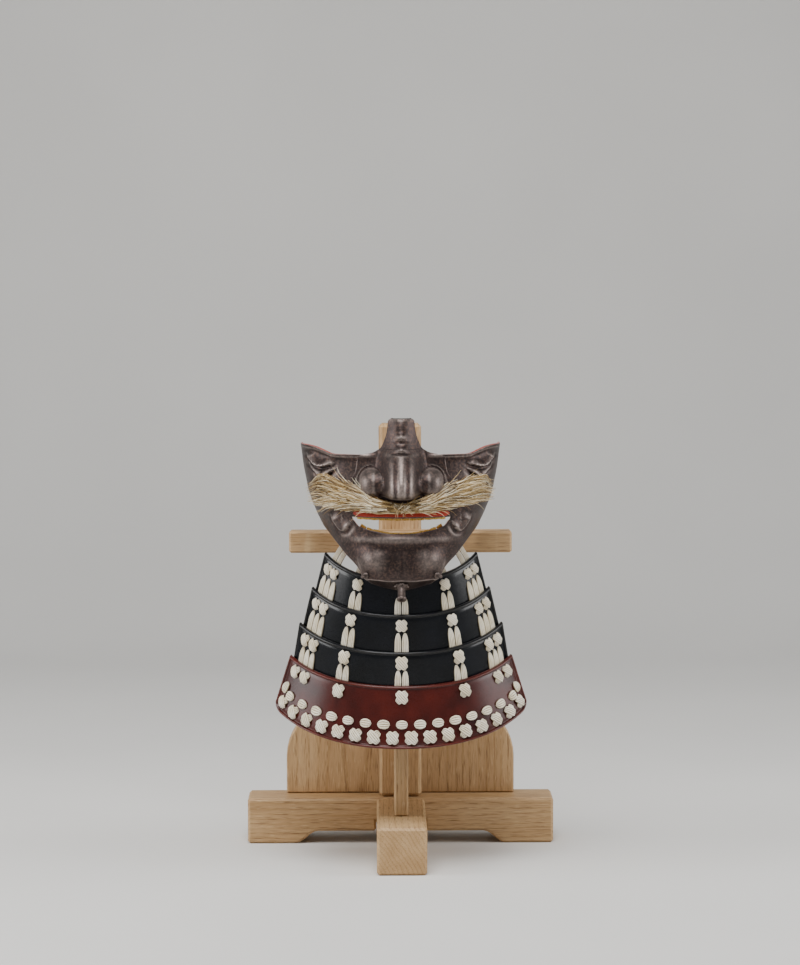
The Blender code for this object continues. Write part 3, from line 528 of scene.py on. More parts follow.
def set_out_tree():
    """Sets one shape out on points, each with its own turn and size."""
    tree, given = tree_with("set out on points", (
        ("Shape", "Object"), ("Width", "Float"), ("Height", "Float"), ("Depth", "Float"),
        ("Unevenness", "Float"), ("Seed", "Int"), ("Finish", "Material")))
    shape = node(tree, "GeometryNodeObjectInfo", None, {"Object": given["Shape"]})
    turn = node(tree, "GeometryNodeInputNamedAttribute", {"data_type": "FLOAT_VECTOR"},
                {"Name": "turn"})
    size = node(tree, "GeometryNodeInputNamedAttribute", {"data_type": "FLOAT"}, {"Name": "size"})
    sides = node(tree, "ShaderNodeCombineXYZ", None,
                 {0: given["Width"], 1: given["Height"], 2: given["Depth"]})
    scale = node(tree, "ShaderNodeVectorMath", {"operation": "SCALE"},
                 {0: sides.outputs[0], "Scale": size.outputs["Attribute"]})
    low, high = (node(tree, "ShaderNodeCombineXYZ", None, dict.fromkeys(
        range(3), maths(tree, way, 1.0, given["Unevenness"]))) for way in ("SUBTRACT", "ADD"))
    vary = node(tree, "FunctionNodeRandomValue", {"data_type": "FLOAT_VECTOR"},
                {0: low.outputs[0], 1: high.outputs[0], "Seed": given["Seed"]})
    varied = node(tree, "ShaderNodeVectorMath", {"operation": "MULTIPLY"},
                  {0: scale.outputs[0], 1: vary.outputs[0]})
    setting = node(tree, "GeometryNodeInstanceOnPoints", None,
                   {"Points": given["Geometry"], "Instance": shape.outputs["Geometry"],
                    "Rotation": turn.outputs["Attribute"], "Scale": varied.outputs[0]})
    return completed(tree, given, setting)


def bristle_tree():
    """Makes a tapering hair of each guide line, with its own tone and a little frizz."""
    tree, given = tree_with("bristles on guides", (
        ("Hair radius", "Float"), ("Frizz", "Float"), ("Seed", "Int"), ("Finish", "Material")))
    lines = node(tree, "GeometryNodeMeshToCurve", None, {0: given["Geometry"]})
    even = node(tree, "GeometryNodeResampleCurve", None, {0: lines.outputs[0], "Count": 8})
    along = node(tree, "GeometryNodeSplineParameter").outputs["Factor"]
    index = node(tree, "GeometryNodeInputIndex").outputs[0]
    own = node(tree, "FunctionNodeRandomValue", {"data_type": "FLOAT"},
               {2: 0.0, 3: 1.0, "ID": index, "Seed": given["Seed"]})
    toned = node(tree, "GeometryNodeStoreNamedAttribute", {"data_type": "FLOAT", "domain": "CURVE"},
                 {0: even.outputs[0], "Name": "tone", "Value": own.outputs[1]})
    wave = node(tree, "ShaderNodeTexNoise", None, {"Scale": 120.0, "Detail": 1.0})
    centred = node(tree, "ShaderNodeVectorMath", {"operation": "SUBTRACT"},
                   {0: wave.outputs["Color"], 1: (0.5, 0.5, 0.5)})
    push = node(tree, "ShaderNodeVectorMath", {"operation": "SCALE"}, {
        0: centred.outputs[0], "Scale": maths(tree, "MULTIPLY", along, given["Frizz"])})
    bent = node(tree, "GeometryNodeSetPosition", None,
                {"Geometry": toned.outputs[0], "Offset": push.outputs[0]})
    radius = maths(tree, "MULTIPLY", mapped(tree, along, 0.0, 1.0, 1.0, 0.35),
                   given["Hair radius"])
    section = node(tree, "GeometryNodeCurvePrimitiveCircle", None, {"Resolution": 4, "Radius": 1.0})
    solid = node(tree, "GeometryNodeCurveToMesh", None,
                 {"Curve": bent.outputs[0], "Profile Curve": section.outputs[0],
                  "Scale": radius, "Fill Caps": True})
    return completed(tree, given, solid)


SET_OUT = set_out_tree()
BRISTLES = bristle_tree()


def points_of(places):
    """A mesh of bare points, each (where, turning matrix, size)."""
    mesh = bpy.data.meshes.new("points")
    mesh.from_pydata([tuple(where) for where, _, _ in places], [], [])
    turns = [tuple(matrix.to_euler("XYZ")) for _, matrix, _ in places]
    mesh.attributes.new("turn", "FLOAT_VECTOR", "POINT").data.foreach_set(
        "vector", np.array(turns).ravel())
    mesh.attributes.new("size", "FLOAT", "POINT").data.foreach_set(
        "value", [size for _, _, size in places])
    return mesh


def set_out(places, shape, finish, width=1.0, height=1.0, depth=1.0, unevenness=0.04, seed=1):
    holder = bpy.data.objects.new("shape", shape)
    made = grown(points_of(places), SET_OUT, Shape=holder, Width=width, Height=height, Depth=depth,
                 Unevenness=unevenness, Seed=seed, Finish=finish)
    bpy.data.objects.remove(holder)
    return made


def facing(aside, out):
    """The matrix of a shape whose X runs aside and whose Z points out."""
    out = Vector(out).normalized()
    aside = (Vector(aside) - out * Vector(aside).dot(out)).normalized()
    return Matrix((aside, out.cross(aside), out)).transposed()


# ---- The face --------------------------------------------------------------------------------

def half_width(height):
    return MASK_WIDTH / 2 * curve(FACE_HALF, height / MASK_HEIGHT)


def angle_at(x, height):
    """The angle at which the mask is x from the middle."""
    return math.asin(max(min(x / half_width(height), 1), -1))


def height_of(line, angle):
    return MASK_HEIGHT * curve(line, abs(angle) / (math.pi / 2))


def face_section(angle, height):
    share = height / MASK_HEIGHT
    depth = MASK_DEPTH * curve(FACE_DEPTH, share)
    return Vector((half_width(height) * math.sin(angle),
                   MASK_BACK - depth * max(math.cos(angle), 0) ** 0.8, CHIN_Z + height))


def plain_face(angle, height, lift=0.0):
    step_a, step_h, end = math.radians(1.5), 0.0015, math.pi / 2
    round_it = (face_section(min(angle + step_a, end), height)
                - face_section(max(angle - step_a, -end), height))
    up = face_section(angle, height + step_h) - face_section(angle, height - step_h)
    return face_section(angle, height) + lift * round_it.cross(up).normalized()


def to_line(x, z, points):
    """How far (x, z) is from a line through points, whether it is above it, and where along it."""
    best, above, along = 1.0, True, 0.0
    for n, ((ax, az), (bx, bz)) in enumerate(zip(points, points[1:])):
        run = (bx - ax) ** 2 + (bz - az) ** 2
        t = min(max(((x - ax) * (bx - ax) + (z - az) * (bz - az)) / run, 0), 1)
        aside, up = x - ax - t * (bx - ax), z - az - t * (bz - az)
        if math.hypot(aside, up) < best:
            best, above = math.hypot(aside, up), up > 0
            along = (n + t) / (len(points) - 1)
    return best, above, along


def ease(low, high, at):
    t = min(max((at - low) / (high - low), 0), 1)
    return t * t * (3 - 2 * t)


def smooth_line(points, count=10):
    """Rounds the corners of a drawn line."""
    stops = list(range(len(points)))
    xs = list(zip(stops, [p[0] for p in points]))
    zs = list(zip(stops, [p[1] for p in points]))
    return [(curve(xs, n / count), curve(zs, n / count))
            for n in range((len(points) - 1) * count + 1)]


# Folds beaten into each cheek, as (height, line out from the middle and up from the chin). Each
# swells above its line and drops sharply under it.
FOLDS = (
    (0.0036, smooth_line(((0.0815, 0.1160), (0.0755, 0.1095), (0.0680, 0.1048), (0.0550, 0.1085)))),
    (0.0030, smooth_line(((0.0800, 0.1085), (0.0730, 0.1010), (0.0660, 0.0965), (0.0550, 0.1050)))),
    (0.0026, smooth_line(((0.0605, 0.0660), (0.0560, 0.0575), (0.0490, 0.0508), (0.0430, 0.0600)))),
)


def broad_relief(x, up):
    out = abs(x)
    cheek = 0.0030 * bump(out - 0.050, 0.017) * bump(up - 0.086, 0.013)
    chin = 0.0042 * bump(out - 0.0235, 0.0115) * bump(up - 0.0260, 0.0105)
    lip = 0.0022 * bump(out, 0.034) * bump(up - 0.0440, 0.0042)
    return cheek + chin + lip


def carved_relief(x, up):
    total = broad_relief(x, up)
    for height, line in FOLDS:
        away, above, along = to_line(abs(x), up, line)
        height *= ease(0, 0.25, along) * ease(1, 0.80, along)
        total += height * (bump(away, 0.0050) if above else bump(away, 0.0008)) - height * 0.35 * (
            0 if above else bump(away - 0.0024, 0.0018))
    return total


def eye_flare(angle, height):
    """How far the eye edge turns out; it fades at the temples and beside the nose."""
    edge = height_of(EYE_EDGE, angle)
    x = face_section(angle, height).x
    return (EDGE_FLARE * bump(edge - height, 0.0022) * ease(1.52, 1.15, abs(angle))
            * ease(0.0195, 0.0300, abs(x)))


def over_face(angle, height, clear):
    """A place over the mask, without its folds."""
    x = face_section(angle, height).x
    return plain_face(angle, height, broad_relief(x, height) + 0.0010
                      + eye_flare(angle, height) + clear)


def between(stops, counts):
    places = [stops[0]]
    for low, high, count in zip(stops, stops[1:], counts):
        places += [low + (high - low) * (n + 1) / count for n in range(count)]
    return places


FACE_ROWS = (38, 22, 10, 40, 10)    # from the eye edge to the nose, lips, jaw's ridge and edge
FACE_COLUMNS = (14, 14, 60)         # from the middle to the nose's side, mouth's corner and back


def face_grid(lift):
    half = between((0, NOSE_NOTCH, MOUTH_CORNER, math.pi / 2), FACE_COLUMNS)
    grid = []
    for angle in [-a for a in half[:0:-1]] + half:
        share = abs(angle) / (math.pi / 2)
        stops = [height_of(line, angle) for line in (EYE_EDGE, NOSE_LINE, LIP_TOP, LIP_LOW)]
        edge = curve(JAW_EDGE, share)
        stops += [MASK_HEIGHT * (edge + curve(RIDGE_UP, share)), MASK_HEIGHT * edge]
        heights = between(stops, FACE_ROWS)
        tuck = curve(((0, CHIN_TUCK), (.22, CHIN_TUCK * .85), (.394, CHIN_TUCK * .45),
                      (.55, SIDE_TUCK * 1.6), (1, SIDE_TUCK)), share)
        column = []
        for row, height in enumerate(heights):
            x = face_section(angle, height).x
            point = plain_face(angle, height, eye_flare(angle, height) + lift(x, height))
            under = max(row - (len(heights) - 1 - FACE_ROWS[-1]), 0) / FACE_ROWS[-1]
            column.append(point + Vector((-math.sin(angle), math.cos(angle), 0)) * tuck * under)
        grid.append(column)
    return np.array(grid)


def mask():
    outer = face_grid(carved_relief)
    smooth = face_grid(broad_relief)
    inner = smooth - MASK_WALL * normals(smooth)
    # The red lacquer inside stands a hair above the eye edge.
    inner[:, 0] += (0, 0, 0.0012)
    middle = sum(FACE_COLUMNS)
    nose = range(middle - FACE_COLUMNS[0], middle + FACE_COLUMNS[0])
    mouth = range(middle - sum(FACE_COLUMNS[:2]), middle + sum(FACE_COLUMNS[:2]))
    left_out = [(a, b) for a in nose for b in range(FACE_ROWS[0])]
    left_out += [(a, sum(FACE_ROWS[:2]) + b) for a in mouth for b in range(FACE_ROWS[2])]
    # The red lacquer of the inner face comes round the edges.
    mesh = shell(outer, inner, left_out, 1, rubbed(outer, RUBBED_AT), 0.2)
    piece("mask_iron", mesh, (IRON, RED), "russet_iron", ("mask_shell",))


# From the nose's top down: height as a share, half the plate's width, half the nose's width, and
# how far the nose stands out as a share of its reach.
NOSE_ROWS = (
    (1.000, .0078, .0104, .17), (.988, .0097, .0106, .21), (.965, .0107, .0110, .25),
    (.900, .0112, .0120, .31), (.825, .0120, .0134, .365), (.780, .0128, .0141, .395),
    (.700, .0148, .0152, .47),
    (.640, .0168, .0161, .54), (.600, .0190, .0167, .58),
    (.565, .0230, .0172, .62), (.520, .0345, .0177, .69), (.460, .0362, .0182, .77),
    (.390, .0368, .0187, .85), (.320, .0376, .0190, .92), (.250, .0400, .0192, .97),
    (.190, .0440, .0192, 1.0), (.120, .0468, .0190, 1.0), (.060, .0480, .0184, .97),
    (.015, .0484, .0172, .86),
)


def nose_point(share, across, depth_share=1.0, drop=0.0):
    half, nose_half, reach = (curve([(row[0], row[n]) for row in reversed(NOSE_ROWS)], share)
                              for n in (1, 2, 3))
    height = NOSE_FOOT_Z + (NOSE_TOP_Z - NOSE_FOOT_Z) * share - CHIN_Z
    x = half * across
    # The foot's line rises a little beside the middle.
    height += 0.0024 * ease(0.004, 0.020, abs(x)) * max(1 - share / 0.35, 0)
    plate = over_face(angle_at(x, height), height, NOSE_WALL + NOSE_CLEAR - 0.0004)
    ridge = max(1 - (x / (nose_half * 1.17)) ** 2, 0) ** 1.5 * reach * NOSE_REACH
    # The tip is a round pad between two soft flutes, and the nose rolls in at its foot.
    low = ease(0.62, 0.20, share)
    flute = 0.0009 * bump(abs(x) - 0.0092, 0.0030) - 0.0011 * bump(abs(x) - 0.0050, 0.0022)
    ridge += flute * low * min(ridge / 0.008, 1)
    ridge *= 1 - 0.20 * max(1 - share / 0.10, 0) ** 2
    # Two round rolls of skin on the bridge, each over a short crease.
    for place, wide in ((0.775, 0.0036), (0.620, 0.0042)):
        ridge += 0.0024 * bump(share - place, 0.040) * bump(x, wide)
        ridge -= 0.0012 * bump(share - place + 0.064, 0.017) * bump(x, wide * 1.4)
    ridge = max(ridge, 0)
    up = height + CHIN_Z - (NOSE_FOOT_Z + WING_TALL)
    ball = 1 - (abs((abs(x) - WING_OUT + 0.0012) / (WING_WIDE * 1.12)) ** 2.2
                + abs(up / (WING_TALL * 0.94)) ** 2.2)
    wing = WING_DEEP * max(ball, 0) ** 0.55
    # A crease runs over and outside each wing.
    crease = -0.0010 * bump(max(-ball, 0) - 0.14, 0.12) * ease(
        WING_OUT - 0.004, WING_OUT, abs(x)) * ease(-0.009, -0.003, up)
    out = max((ridge ** 1.7 + wing ** 1.7) ** (1 / 1.7) + crease, -0.0004)
    return plate + Vector((0, -out * depth_share, drop))


def nose():
    places = [math.copysign(abs(a) ** 0.9, a) for a in np.linspace(-1, 1, 97)]
    rows = [(s, 1.0, 0.0) for s in np.linspace(1.0, 0.015, 92)]
    rows += [(0.015, 0.88 * (1 - t) + 0.10 * t, -0.0020 * math.sin(t * math.pi / 2))
             for t in np.linspace(0.05, 1, 14)]
    grid = np.array([[nose_point(share, across, depth, drop) for share, depth, drop in rows]
                     for across in places])
    inner = grid - NOSE_WALL * normals(grid)
    nostrils = []
    for a, across in enumerate(places[:-1]):
        for b in range(93, len(rows) - 1):
            aside = (abs(across) * 0.0484 - 0.0215) / 0.0050
            deep = (rows[b][1] - 0.42) / 0.22
            if aside ** 2 + deep ** 2 < 1:
                nostrils.append((a, b))
    mesh = shell(grid, inner, nostrils, 1, rubbed(grid, RUBBED_AT), 0.2)
    piece("nose_iron", mesh, (IRON, RED), "russet_iron", ("nose_piece",))


def band_along(line, start, end, section, steps=60):
    """A mesh of a rounded section drawn along a line of the face; the section's points are (up,
    out), and its ends close to the middle."""
    rings = []
    centre_up = sum(p[0] for p in section) / len(section)
    centre_out = sum(p[1] for p in section) / len(section)
    for n in range(steps + 1):
        angle = start + (end - start) * n / steps
        height = height_of(line, angle)
        close = min(1, 0.25 + min(n, steps - n) / 3)
        ring = []
        for up, out in section:
            up = centre_up + (up - centre_up) * close
            out = centre_out + (out - centre_out) * close
            x = face_section(angle, height + up).x
            ring.append(plain_face(angle, height + up, out + broad_relief(x, height + up)))
        rings.append(ring)
    return outward(tube(rings))


def round_section(low, high, back, front, count=12, square=0.5):
    """A rounded rectangle of (up, out) points."""
    points = []
    for n in range(count):
        turn = 2 * math.pi * n / count
        up = math.copysign(abs(math.sin(turn)) ** square, math.sin(turn))
        out = math.copysign(abs(math.cos(turn)) ** square, math.cos(turn))
        points.append(((low + high) / 2 + (high - low) / 2 * up,
                       (back + front) / 2 + (front - back) / 2 * out))
    return points


def pad(width, height, depth, count=3):
    """A mesh of a small rounded block, which is centred on the origin."""
    bm = bmesh.new()
    bmesh.ops.create_cube(bm, size=1.0)
    bmesh.ops.subdivide_edges(bm, edges=bm.edges, cuts=count, use_grid_fill=True)
    for v in bm.verts:
        v.co = v.co.lerp(v.co.normalized() * 0.62, 0.22)
        v.co = Vector((v.co.x * width, v.co.y * height, v.co.z * depth))
    mesh = bpy.data.meshes.new("pad")
    bm.to_mesh(mesh)
    bm.free()
    return mesh


def mouth():
    corner = MOUTH_CORNER * LIP_SHARE
    lip = band_along(LIP_TOP, -corner, corner,
                     round_section(0.0002, LIP_TALL, GAP, GAP + LIP_THICK * 0.85, 20, 0.28))
    piece("lip_red", lip, (RED,), "red_lacquer", ("upper_lip",))
    for name, line, sign, clear, low, reach, count in (
            ("upper_teeth", LIP_TOP, -1, 0.0008, -0.0006, MOUTH_CORNER * 0.90, 12),
            ("lower_teeth", LIP_LOW, 1, 0.0018, -0.0012, MOUTH_CORNER * 0.94, 13)):
        back = -MASK_WALL - clear - 0.0007
        places = []
        for n in range(count):
            angle = reach * (2 * (n + 0.5) / count - 1)
            height = height_of(line, angle) + sign * low

            def at(a, h=height):
                x = face_section(a, h).x
                return plain_face(a, h, back + broad_relief(x, h))

            out = plain_face(angle, height, 1) - plain_face(angle, height)
            slope = at(angle + 0.01) - at(angle - 0.01)
            slope.z = height_of(line, angle + 0.01) - height_of(line, angle - 0.01)
            places.append((at(angle), facing(slope, out), 1.0))
        width = (at(reach / count) - at(-reach / count)).length * 0.97
        teeth = set_out(places, pad(width, 0.0060, 0.0014), GOLD, unevenness=0.05, seed=3)
        piece(name.replace("teeth", "gold_teeth"), teeth, (GOLD,), "gilding", (name,))


# Along each tuft, in millimetres from the middle: its lower and its upper side above the chin.
TUFTS = {
    -1: ((3, 66.5, 75.5), (15, 67.0, 78.5), (25, 67.8, 81.0), (33, 68.5, 87.0), (42, 69.0, 92.0),
         (50, 69.5, 94.0), (60, 70.0, 97.5), (68, 70.5, 98.5), (73, 71.5, 96.0), (78, 73.0, 88.0)),
    1: ((3, 66.5, 75.5), (15, 67.5, 79.5), (25, 68.5, 83.0), (33, 69.8, 88.0), (42, 71.5, 92.5),
        (50, 72.5, 94.5), (60, 73.5, 97.0), (69, 74.5, 97.5), (74, 75.0, 96.0), (78, 76.0, 90.0)),
}


def tuft_point(side, share, up_share, deep):
    """A place in a tuft: along it, from its lower to its upper side, and out from its back."""
    x = TUFT_START + (TUFT_END - TUFT_START) * share
    low, high = (curve([(row[0] / 1000, row[n] / 1000) for row in TUFTS[side]], x) for n in (1, 2))
    height = (low + high) / 2 + (high - low) / 2 * up_share
    straight = MASK_BACK - MASK_DEPTH * (0.98 - 0.53 * max(share - 0.3, 0) / 0.7)
    y = min(over_face(angle_at(x, height), height, TUFT_CLEAR - 0.0010).y, straight) - deep
    return Vector((side * x, y, CHIN_Z + height))


def moustache():
    for side, word in SIDES:
        points, edges = [], []

        def hair(start, length, up_share, drift, deep, rise, count=5):
            """A guide line outward from its root; the hairs near a side lean past that side."""
            first = len(points)
            for k in range(count):
                t = k / (count - 1)
                points.append(tuft_point(side, start + length * t,
                                         up_share + drift * (0.35 * t + 0.65 * t * t),
                                         deep + rise * t))
            edges.extend((first + k, first + k + 1) for k in range(count - 1))

        # Short cut bristles, whose ends show all along the tuft.
        for n in range(880):
            start = rng.uniform(-0.06, 0.80)
            length = min(rng.uniform(0.16, 0.34), 1.0 + 0.06 * rng.random() - start)
            up_share = rng.uniform(-0.92, 0.92)
            drift = np.clip(rng.normal(0.16 * up_share, 0.24), -1.12 - up_share, 1.12 - up_share)
            deep = 0.0006 + TUFT_THICK * 0.75 * rng.random() * math.sqrt(1 - 0.8 * up_share ** 2)
            deep *= min(0.5 + start * 3, 1)
            hair(start, length, up_share, drift, deep, 0.0012 * rng.random())
        # The tied roots in the middle, and strays.
        for n in range(46):
            hair(rng.uniform(-0.08, 0.02), rng.uniform(-0.05, 0.09), rng.uniform(-0.6, 0.6),
                 rng.uniform(-1.2, 0.9), 0.003 + 0.004 * rng.random(), 0.0012)
        for n in range(12):
            low = rng.random() < 0.6
            way = -0.9 if low else 0.9
            hair(0.8 * rng.random(), 0.16, way, (0.5 + 0.5 * rng.random()) * way, 0.003, 0.003)
        guides = bpy.data.meshes.new("guides")
        guides.from_pydata([tuple(p) for p in points], edges, [])
        hairs = grown(guides, BRISTLES, Hair_radius=0.00027, Frizz=0.0034, Seed=5 + side,
                      Finish=HAIR)
        piece("bristles_" + word, hairs, (HAIR,), "horsehair", ("moustache_" + word,))


def turned(outline, base, axis, count=32, petals=0, depth=0.0):
    """A mesh: a closed outline of (radius, along) turned about an axis; petals scallop what lies
    outside the first third of the largest radius."""
    axis = Vector(axis).normalized()
    aside = axis.orthogonal().normalized()
    other = axis.cross(aside)
    widest = max(r for r, _ in outline)
    rings = []
    for n in range(count + 1):
        turn = 2 * math.pi * (n % count) / count
        spoke = aside * math.cos(turn) + other * math.sin(turn)
        wave = 1 + depth * math.cos(petals * turn)
        rings.append([base + spoke * (r * wave if r > widest * 0.7 else r) + axis * along
                      for r, along in outline])
    return outward(tube(rings, closed=False, wear=0.35), 1e-6)


def fittings():
    ridge = face_section(0, MASK_HEIGHT * .079)
    edge = face_section(0, 0) + Vector((0, CHIN_TUCK, 0))
    slope = edge - ridge
    down = Vector((0, -abs(slope.z), -abs(slope.y))).normalized()
    start = (ridge + edge) / 2 + down * GAP
    pipe = ((TUBE_BORE, 0), (TUBE_R, 0.0004), (TUBE_R, TUBE_LENGTH - .0028),
            (TUBE_R + .0003, TUBE_LENGTH - .0025), (TUBE_R + .0008, TUBE_LENGTH - .0021),
            (TUBE_R + .0009, TUBE_LENGTH - .0014), (TUBE_R + .0008, TUBE_LENGTH - .0006),
            (TUBE_R + .0003, TUBE_LENGTH), (TUBE_BORE + .0002, TUBE_LENGTH),
            (TUBE_BORE, TUBE_LENGTH - .0004))
    rose = ((TUBE_BORE, 0), (COLLAR_R * 0.96, 0), (COLLAR_R, .0004), (COLLAR_R * 0.94, .0011),
            (COLLAR_R * 0.78, COLLAR_THICK), (TUBE_R + .0009, .0012), (TUBE_R + .0002, .0022),
            (TUBE_BORE, .0022))
    both = together([turned(pipe, start, down), turned(rose, start, down, 48, 8, 0.10)])
    piece("sweat_pipe", both, (IRON,), "russet_iron", ("sweat_tube",), 50)
    peg = ((0, -.0004), (.0026, -.0004), (.0029, .0001), (.0026, .0006), (.0016, .0009),
           (.0015, .0050), (.0012, .0057), (0, .0060))
    pin = ((0, -.0004), (.0031, -.0004), (.0033, .0000), (.0030, .0005), (.0020, .0007),
           (.0020, .0016), (.0014, .0026), (.0007, .0030), (0, .0031))
    for side, word in SIDES:
        for name, part, x, z, lift, outline in (
                ("chin_stud_", "chin_peg_", PEG_OUT, PEG_Z, GAP + 0.0003, peg),
                ("nose_stud_", "nose_pin_", PIN_OUT, PIN_Z, NOSE_WALL + NOSE_CLEAR + 0.0008, pin)):
            height = z - CHIN_Z
            angle = side * angle_at(x, height)
            base = plain_face(angle, height, broad_relief(x, height) + lift)
            axis = plain_face(angle, height, 1) - plain_face(angle, height)
            piece(name + word, turned(outline, base, axis, 20), (IRON,), "russet_iron",
                  (part + word,), 50)


# ---- The throat guard ------------------------------------------------------------------------

def lame_point(lame, angle, down, lift=0.0):
    share = down / (EDGE_Z[lame] - EDGE_Z[lame + 1])

    def mixed(edges):
        return edges[lame] + (edges[lame + 1] - edges[lame]) * share

    radius = mixed(EDGE_HALF) / math.sin(LAME_HALF_ANGLE)
    out = lift - (LAME_STEP * share if lame < 3 else 0)
    return Vector(((radius + out) * math.sin(angle),
                   mixed(EDGE_FRONT) + radius - (radius + out) * math.cos(angle),
                   mixed(EDGE_Z)
                   + mixed(EDGE_RISE) * (abs(angle) / LAME_HALF_ANGLE) ** EDGE_CURVE))


def lame_radius(lame):
    return (EDGE_HALF[lame] + EDGE_HALF[lame + 1]) / 2 / math.sin(LAME_HALF_ANGLE)


def lame_length(lame):
    return EDGE_Z[lame] - EDGE_Z[lame + 1] + (LAME_OVERLAP if lame < 3 else 0)


def low_edge(lame, angle, down):
    """Draws the lower corners of the lowest lame round."""
    near = (LAME_HALF_ANGLE - abs(angle)) * lame_radius(lame)
    if lame < 3 or near >= CORNER_R:
        return down
    cut_up = CORNER_R - math.sqrt(max(CORNER_R ** 2 - (CORNER_R - near) ** 2, 0))
    return down - cut_up * max(down - KNOT_DOWN, 0) / (lame_length(lame) - KNOT_DOWN)


def bead(near):
    """How far the rolled rim stands out, at a distance from the edge."""
    half = RIM_TALL / 2
    if near > RIM_TALL:
        # A shallow groove follows the rim.
        return -0.00025 * bump(near - RIM_TALL - 0.0007, 0.0006)
    return RIM_OUT * math.sqrt(max(1 - ((near - half) / half) ** 2, 0.04))


def edge_places(length, both, step):
    """Places across a plate, close together at its rolled rims."""
    rim = [0, .0001, .0003, .0006, .0010, .0014, .0018, .0021, .0023, .0024, .0028, .0032, .0040]
    far = [length - r for r in reversed(rim)] if both else [length]
    count = max(int((far[0] - rim[-1]) / step), 2)
    return rim + [rim[-1] + (far[0] - rim[-1]) * n / count for n in range(1, count)] + far


def throat_lames():
    for lame in range(4):
        radius, length = lame_radius(lame), lame_length(lame)
        angles = [a / radius - LAME_HALF_ANGLE
                  for a in edge_places(2 * LAME_HALF_ANGLE * radius, True, 0.0022)]
        downs = edge_places(length, lame == 3, 0.0022)
        outer, inner, wear = [], [], []
        for angle in angles:
            aside = (LAME_HALF_ANGLE - abs(angle)) * radius
            out_column, in_column, worn = [], [], []
            for down in downs:
                near = min(aside, down, length - down if lame == 3 else 1)
                low = low_edge(lame, angle, down)
                out_column.append(lame_point(lame, angle, low, bead(near)))
                in_column.append(lame_point(lame, angle, low, -LAME_WALL))
                worn.append(0.5 * bump(near - RIM_TALL / 2, 0.0004))
            outer.append(out_column)
            inner.append(in_column)
            wear.append(worn)
        look, slot = (BROWN, "brown_lacquer") if lame == 3 else (BLACK, "black_lacquer")
        mesh = shell(np.array(outer), np.array(inner), (), 0, np.array(wear))
        piece(f"lame_{lame + 1}_lacquered", mesh, (look,), slot, (f"throat_lame_{lame + 1}",), 60)


CORDS = 4                           # side by side in one flat braid


def braid(place, rows, wide=BRAID_WIDE, thick=BRAID_THICK):
    """A mesh of a flat ribbed braid. place(aside, down, lift) gives a point; each row is
    (down, share of the width, height above the back, middle of the back)."""
    rings, uvs = [], []
    steps = CORDS * 4
    for down, share, full, back in rows:
        ring, uv = [], []
        for n in range(steps + 1):
            u = n / steps
            rib = abs(math.sin(math.pi * u * CORDS)) ** 0.7
            crown = 1 - (2 * u - 1) ** 2
            ring.append(place((u - 0.5) * wide * share, down,
                              back + thick * full * (0.25 + 0.45 * crown ** 0.5 + 0.45 * rib)))
            uv.append((u * CORDS, down * 1000))
        for n in range(5):
            u = 1 - n / 4
            ring.append(place((u - 0.5) * wide * share * 0.96, down, back))
            uv.append((u * CORDS, down * 1000))
        rings.append(ring)
        uvs.append(uv)
    return outward(tube(rings, uvs))


def unit_braid(place, rows, wide, thick):
    """A braid of a shape 1 unit across, whose UV map is brought to a size of 12 mm."""
    mesh = braid(place, rows, wide, thick)
    layer = mesh.uv_layers["UVMap"].data
    places = np.empty(len(layer) * 2)
    layer.foreach_get("uv", places)
    places[1::2] *= 0.012
    layer.foreach_set("uv", places)
    return mesh


def knot():
    """A mesh of two flat braids that cross and run down into their holes, 1 unit across."""
    parts = []
    for turn, rise in ((-math.pi / 4, 0.0), (math.pi / 4, 0.085)):
        def place(aside, down, lift, turn=turn, rise=rise):
            arch = max(1 - abs(down / 0.58) ** 3.5, 0) ** 0.7
            up = (lift + 0.10 + rise * 1.3) * (0.14 + 0.86 * arch) - 0.05
            return Vector((aside * math.cos(turn) - down * math.sin(turn),
                           aside * math.sin(turn) + down * math.cos(turn), up))

        rows = [(0.560 * s, 0.50 + 0.50 * math.sqrt(max(1 - s * s, 0)), 1.0, 0.0)
                for s in np.linspace(-1, 1, 15)]
        parts.append(unit_braid(place, rows, 0.66, 0.20))
    return together(parts)


def oval():
    """A mesh of one short braid lying across its two holes, 1 unit across."""
    def place(aside, down, lift):
        arch = math.sqrt(max(1 - (down / 0.52) ** 2, 0))
        return Vector((-down, aside, (lift + 0.14) * (0.1 + 0.9 * arch) - 0.05))

    rows = [(0.5 * s, 0.16 + 0.84 * max(1 - s * s, 0) ** 0.55, 1.0, 0.0)
            for s in np.linspace(-1, 1, 13)]
    return unit_braid(place, rows, 0.78, 0.24)


def on_lame(lame, angle, down, lift=0.0, size=1.0):
    """Where and how a shape sits on a lame's outer face."""
    step = 0.01
    aside = lame_point(lame, angle + step, down) - lame_point(lame, angle - step, down)
    fall = lame_point(lame, angle, down + 0.002) - lame_point(lame, angle, down - 0.002)
    out = fall.cross(aside)
    return lame_point(lame, angle, down, lift), facing(aside, out), size


COLUMNS_OF_LACE = (
    ("left_end", (-END_ANGLES[1], -END_ANGLES[0]), 3), ("left", (-MIDDLE_ANGLE,), 2),
    ("middle", (0.0,), 2), ("right", (MIDDLE_ANGLE,), 2), ("right_end", END_ANGLES, 3),
)


